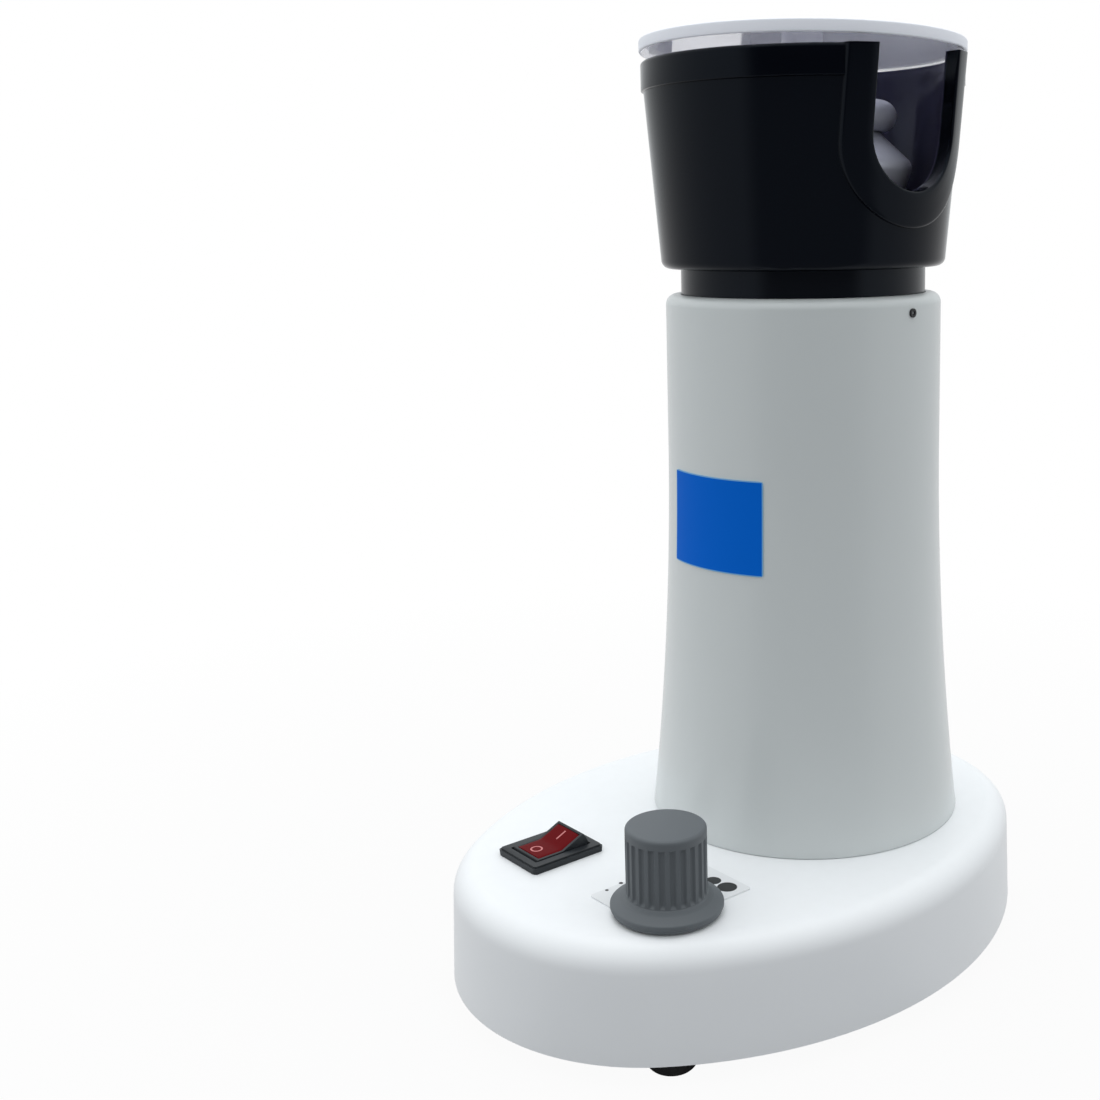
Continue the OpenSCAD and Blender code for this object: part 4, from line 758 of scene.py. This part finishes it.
def red_lens():
    """The rocker's red lens: its face follows the rocker's, domed a little across, and falls away in
    a round edge; the rim goes down to a flat underside."""
    half_wide, front, back = LENS_HALF, -9.2, 7.2
    u = np.linspace(-1, 1, 33)
    v = np.linspace(-1, 1, 65)
    across, along = np.meshgrid(u, v)
    x = np.sign(across) * (1 - (1 - np.abs(across)) ** 1.6) * half_wide
    y = (front + back) / 2 + np.sign(along) * (1 - (1 - np.abs(along)) ** 1.6) * (back - front) / 2
    edge = np.maximum((np.abs(x) / half_wide) ** 14, (np.abs(along)) ** 60)
    z = rocker_height(y) + LENS_FACE - 0.4 * edge + LENS_DOME * (1 - (x / half_wide) ** 2)
    face = np.stack([SWITCH[0] + x, SWITCH[1] + y, PIVOT + z], -1)
    under = face.copy()
    under[..., 2] = PIVOT + rocker_height(y) - 0.95
    side = np.stack([border(face), border(under)])
    make("red_lens", [(face, False), (under, False), (side, True)], LENS, "rocker",
         ["rocker_lens"], sharp=50)


def rocker_marks():
    """Pale moulded marks on the lens: a ring on its front half and a bar on its back half, each a
    flat strip that follows the lens's face."""
    def on_face(x, y, lift):
        z = rocker_height(y) + LENS_FACE + LENS_DOME * (1 - (x / LENS_HALF) ** 2) + lift
        return np.stack([SWITCH[0] + x, SWITCH[1] + y, PIVOT + z], -1)

    a = np.linspace(0, 2 * math.pi, 48, endpoint=False)
    section = np.array([
        (1.55, -0.1), (1.55, 0.04), (1.65, 0.07), (2.0, 0.07), (2.1, 0.04), (2.1, -0.1), (1.55, -0.1)])
    r, lift = section[:, :1], section[:, 1:]
    ring = on_face(r * np.cos(a), -5.8 + r * np.sin(a), lift + 0 * a)
    t = np.linspace(-1.9, 1.9, 12)
    bar_section = np.array([(-0.3, -0.1), (-0.3, 0.05), (0.3, 0.05), (0.3, -0.1), (-0.3, -0.1)])
    bx, bl = bar_section[:, :1], bar_section[:, 1:]
    bar = on_face(bx + 0 * t, 4.2 + t + 0 * bx, bl + 0 * t)
    ends = [np.stack([bar[:2, k], bar[[3, 2], k]]) for k in (0, -1)]
    make("rocker_marks", [(ring, True), (bar, False), *[(e, False) for e in ends]], PRINT_PALE, "rocker")


# ---- Every other piece, from its CAD solid ----


def reshaped(mesh, change):
    """Moves a mesh's points, in millimetres, by change(x, y, z), which gives the three back."""
    flat = np.empty(len(mesh.vertices) * 3, np.float32)
    mesh.vertices.foreach_get("co", flat)
    x, y, z = flat.reshape(-1, 3).astype(float).T / MM
    moved = np.stack(change(x, y, z), -1) * MM
    mesh.vertices.foreach_set("co", moved.astype(np.float32).ravel())
    mesh.update()


def full_width(x, y, z):
    """The switch at its photographed width: the rocker and its well grow by a quarter, and the bezel
    by 1.4 mm on each side, while the body under the stand's top and the pin's ends stay within
    their place."""
    away = np.abs(x - SWITCH[0])
    above = np.interp(away, [0, 5.8, 6.1, 9.5], [0, 7.2, 7.5, 10.9])
    below = np.interp(away, [0, 5.8, 6.1, 6.8, 7.8, 9.5], [0, 7.2, 7.5, 7.65, 7.8, 10.9])
    wide = np.where(z > STAND_TOP + 1.5, above, below)
    return SWITCH[0] + np.sign(x - SWITCH[0]) * wide, y, z


def raised_rocker(x, y, z):
    """The rocker, wider, and behind its pivot steeper on top."""
    x, y, z = full_width(x, y, z)
    extra = (ROCKER_TILT - SOLID_TILT) * np.clip(y - SWITCH[1], 0, None)
    return x, y, z + np.where(z > PIVOT + 2, extra, 0)


def settled_hub(x, y, z):
    """The hub's upper part follows the leaning lid."""
    return x, y, np.where(z > LID_BOTTOM - 3, leaned(y, z), z)


RESHAPED = {"switch_housing": full_width, "switch_rocker": raised_rocker, "lid_hub": settled_hub}


def dressed(node, body, look, bevel):
    """A CAD solid with its loose triangles joined, its flat areas made single faces, its shape changed
    where RESHAPED says so, and its edges rounded over bevel millimetres."""
    mesh = frame["nodes"][node].data.copy()
    mesh.name = node + "_dressed"
    work = bmesh.new()
    work.from_mesh(mesh)
    bmesh.ops.remove_doubles(work, verts=work.verts, dist=2e-6)
    bmesh.ops.dissolve_limit(work, angle_limit=math.radians(0.2), verts=work.verts, edges=work.edges)
    work.to_mesh(mesh)
    work.free()
    if node in RESHAPED:
        reshaped(mesh, RESHAPED[node])
    mesh.shade_smooth()
    mesh.set_sharp_from_angle(angle=math.radians(SHARP_CAD))
    piece = place(node + "_dressed", mesh, look, body, [node])
    return round_bevel(piece, bevel) if bevel else piece


# Each node's finish, and the rounding of its edges in millimetres
DRESS = {
    "base_housing": (WHITE_ENAMEL, 0.3), "base_plate": (PLATE_PAINT, 0.2), "rubber_feet": (FOOT_RUBBER, 0.3),
    "foot_screws": (ZINC, 0.1), "cord_gland": (NYLON, 0.2), "gland_nut": (NYLON, 0.3),
    "column_screws": (ZINC, 0.1), "neck_screws": (BLACK_OXIDE, 0.08), "outlet_guard": (GUARD_WIRE, 0),
    "guard_screws": (ZINC, 0.08), "deflector_spacer": (SPUN, 0.15), "deflector_stud": (ZINC, 0.1),
    "deflector_nut": (ZINC, 0.2), "lid_hub": (SPUN, 0.2), "heater_tube": (HEATER_STEEL, 0.1),
    "heater_screws": (ZINC, 0.08), "mica_board_long": (MICA, 0.1), "mica_board_cross": (MICA, 0.1),
    "heating_coil": (NICHROME, 0), "thermal_cutout": (CUTOUT, 0.15), "fan_frame": (FAN_PLASTIC, 0.2),
    "fan_rotor": (FAN_PLASTIC, 0), "fan_screws": (ZINC, 0.1), "switch_housing": (SWITCH_PLASTIC, 0.3),
    "switch_rocker": (SWITCH_PLASTIC, 0.25), "switch_terminals": (BRASS, 0.08),
    "scale_plate": (SCALE_WHITE, 0.08), "pot_shaft": (STEEL, 0.1), "pot_body": (POT_CASE, 0.1),
    "pot_washer": (ZINC, 0.08), "pot_nut": (BRASS, 0.1),
    "control_board": (BOARD, 0.1), "board_screws": (ZINC, 0.08), "transformer_core": (CORE, 0.2),
    "transformer_winding": (WINDING, 0.2), "triac": (EPOXY, 0.1), "heatsink": (SINK, 0.1),
    "capacitors": (SLEEVE, 0.3), "terminal_block": (BLOCK, 0.15),
}


def dress_the_rest():
    """Dresses every CAD node of the table above, on its own body."""
    record = frame["record"]
    bodies = {node: body for body, nodes in record["behaviour"]["bodies"].items() for node in nodes}
    for node, (look, bevel) in DRESS.items():
        dressed(node, bodies[node], look, bevel)


# ---- Studio ----


TENT_WALL, TENT_TOP = 0.92, 0.30            # how bright the tent's walls are, and what its roof adds
OPENING = (0.800, -0.600, 0.0)             # the tent's open side, where the photographer stands


def open_side(tree, toward):
    """A mask that is 1 in the tent's open side and 0 outside it: the level part of a direction,
    against the middle of the opening."""
    level = put(tree, "ShaderNodeVectorMath", {"operation": "MULTIPLY"}, i0=toward, i1=(1.0, 1.0, 0.0))
    unit = put(tree, "ShaderNodeVectorMath", {"operation": "NORMALIZE"}, i0=level.outputs[0])
    alike = put(tree, "ShaderNodeVectorMath", {"operation": "DOT_PRODUCT"}, i0=unit.outputs[0], i1=OPENING)
    return put(tree, "ShaderNodeMapRange", {"interpolation_type": "SMOOTHSTEP"}, Value=alike.outputs["Value"],
               From_Min=0.60, From_Max=0.80).outputs[0]


def floor():
    """A wide pale floor. Near the warmer it keeps some of its real light, and so the shadow; further
    out, and to the camera and in reflections, it turns into the white of the backdrop."""
    a = np.linspace(0, 2 * math.pi, 96, endpoint=False)
    r = np.array([[0.0], [0.3], [0.8], [2.0], [6.0]])   # rings, in metres
    grid = np.stack([r * np.cos(a), r * np.sin(a), 0 * r * a], -1) / MM
    mesh = bpy.data.meshes.new("floor")
    mesh.from_pydata(grid.reshape(-1, 3) * MM, [], quads(len(r), len(a), 0, True).tolist())
    obj = bpy.data.objects.new("floor", mesh)
    bpy.context.scene.collection.objects.link(obj)
    obj.location.z = -0.0002
    material = bpy.data.materials.new("pale floor")
    material.use_nodes = True
    tree = material.node_tree
    tree.nodes.clear()
    lit = put(tree, "ShaderNodeBsdfDiffuse", None, Color=(0.36, 0.36, 0.37, 1))
    white = put(tree, "ShaderNodeEmission", None, Color=(1, 1, 1, 1), Strength=1.0)
    where = put(tree, "ShaderNodeTexCoord").outputs["Object"]
    away = put(tree, "ShaderNodeVectorMath", {"operation": "LENGTH"}, i0=where).outputs["Value"]
    share = put(tree, "ShaderNodeMapRange", None, Value=away, From_Min=0.08, From_Max=0.5, To_Min=0.95,
                To_Max=1.0)
    path = put(tree, "ShaderNodeLightPath").outputs
    lit_side = sums(tree, "SUBTRACT", 1.0, open_side(tree, where))
    mirrored = sums(tree, "MULTIPLY", path["Is Glossy Ray"], sums(tree, "MULTIPLY", lit_side, 0.8))
    seen = sums(tree, "MAXIMUM", path["Is Camera Ray"], mirrored)
    seen = sums(tree, "MAXIMUM", seen, path["Is Transmission Ray"])
    mix = put(tree, "ShaderNodeMixShader", None, i0=sums(tree, "MULTIPLY", share.outputs[0], seen),
              i1=lit.outputs[0], i2=white.outputs[0])
    out = put(tree, "ShaderNodeOutputMaterial")
    tree.links.new(mix.outputs[0], out.inputs["Surface"])
    mesh.materials.append(material)


def white_room():
    """The world: plain white to the camera, and as light a soft white tent that is bright above and
    all round the warmer, apart from a dark opening on the photographer's side."""
    world = bpy.data.worlds.new("white room")
    bpy.context.scene.world = world
    world.use_nodes = True
    tree = world.node_tree
    tree.nodes.clear()
    toward = put(tree, "ShaderNodeTexCoord").outputs["Generated"]
    up = put(tree, "ShaderNodeSeparateXYZ", None, Vector=toward).outputs["Z"]
    above = put(tree, "ShaderNodeMapRange", {"interpolation_type": "SMOOTHSTEP"}, Value=up, From_Min=0.1,
                From_Max=0.9, To_Min=0.0, To_Max=TENT_TOP)
    under_roof = put(tree, "ShaderNodeMapRange", None, Value=up, From_Min=0.65, From_Max=0.35).outputs[0]
    dark = sums(tree, "MULTIPLY", sums(tree, "MULTIPLY", open_side(tree, toward), under_roof), 0.9)
    wall = sums(tree, "MULTIPLY", sums(tree, "SUBTRACT", 1.0, dark), TENT_WALL)
    tent = put(tree, "ShaderNodeBackground", None, Color=(0.955, 0.985, 1.0, 1),
               Strength=sums(tree, "ADD", above.outputs[0], wall))
    white = put(tree, "ShaderNodeBackground", None, Color=(1, 1, 1, 1), Strength=1.0)
    path = put(tree, "ShaderNodeLightPath").outputs
    seen = sums(tree, "MAXIMUM", path["Is Camera Ray"], path["Is Transmission Ray"])
    mix = put(tree, "ShaderNodeMixShader", None, i0=seen, i1=tent.outputs[0], i2=white.outputs[0])
    out = put(tree, "ShaderNodeOutputWorld")
    tree.links.new(mix.outputs[0], out.inputs["Surface"])


def softbox(name, at, toward, size, power):
    """A square area lamp at a point, aimed at another, both in metres."""
    lamp = bpy.data.lights.new(name, "AREA")
    lamp.size = size
    lamp.energy = power
    obj = bpy.data.objects.new(name, lamp)
    obj.location = at
    obj.rotation_euler = (Vector(toward) - Vector(at)).to_track_quat("-Z", "Y").to_euler()
    bpy.context.scene.collection.objects.link(obj)


def photographer():
    """The photograph's own camera: its place, aim and roll, with the lens and shift in a square frame."""
    aim = Vector((-0.75100, 0.64140, -0.15687))
    turn, roll = math.radians(49.5), math.radians(-0.8)
    level = Vector((math.cos(turn), math.sin(turn), 0))
    over = level.cross(aim)
    right = level * math.cos(roll) + over * math.sin(roll)
    up = over * math.cos(roll) - level * math.sin(roll)
    data = bpy.data.cameras.new("photographer")
    data.sensor_width = 36.0
    data.lens = 46.80
    data.shift_x, data.shift_y = -0.1402, -0.0959
    camera = bpy.data.objects.new("photographer", data)
    facing = Matrix((right, up, -aim)).transposed().to_4x4()
    camera.matrix_world = Matrix.Translation((0.35839, -0.32217, 0.25334)) @ facing
    bpy.context.scene.collection.objects.link(camera)
    bpy.context.scene.camera = camera


photographer()
column_tube()
blank_panel()
neck()
cup()
deflector()
lid_disc()
fluted_knob()
heat_marks()
red_lens()
rocker_marks()
dress_the_rest()
floor()
white_room()
softbox("top softbox", (-0.1, 0.1, 1.35), (0, 0.02, 0.1), 0.9, 4.0)
bpy.context.scene.view_settings.view_transform = "Standard"
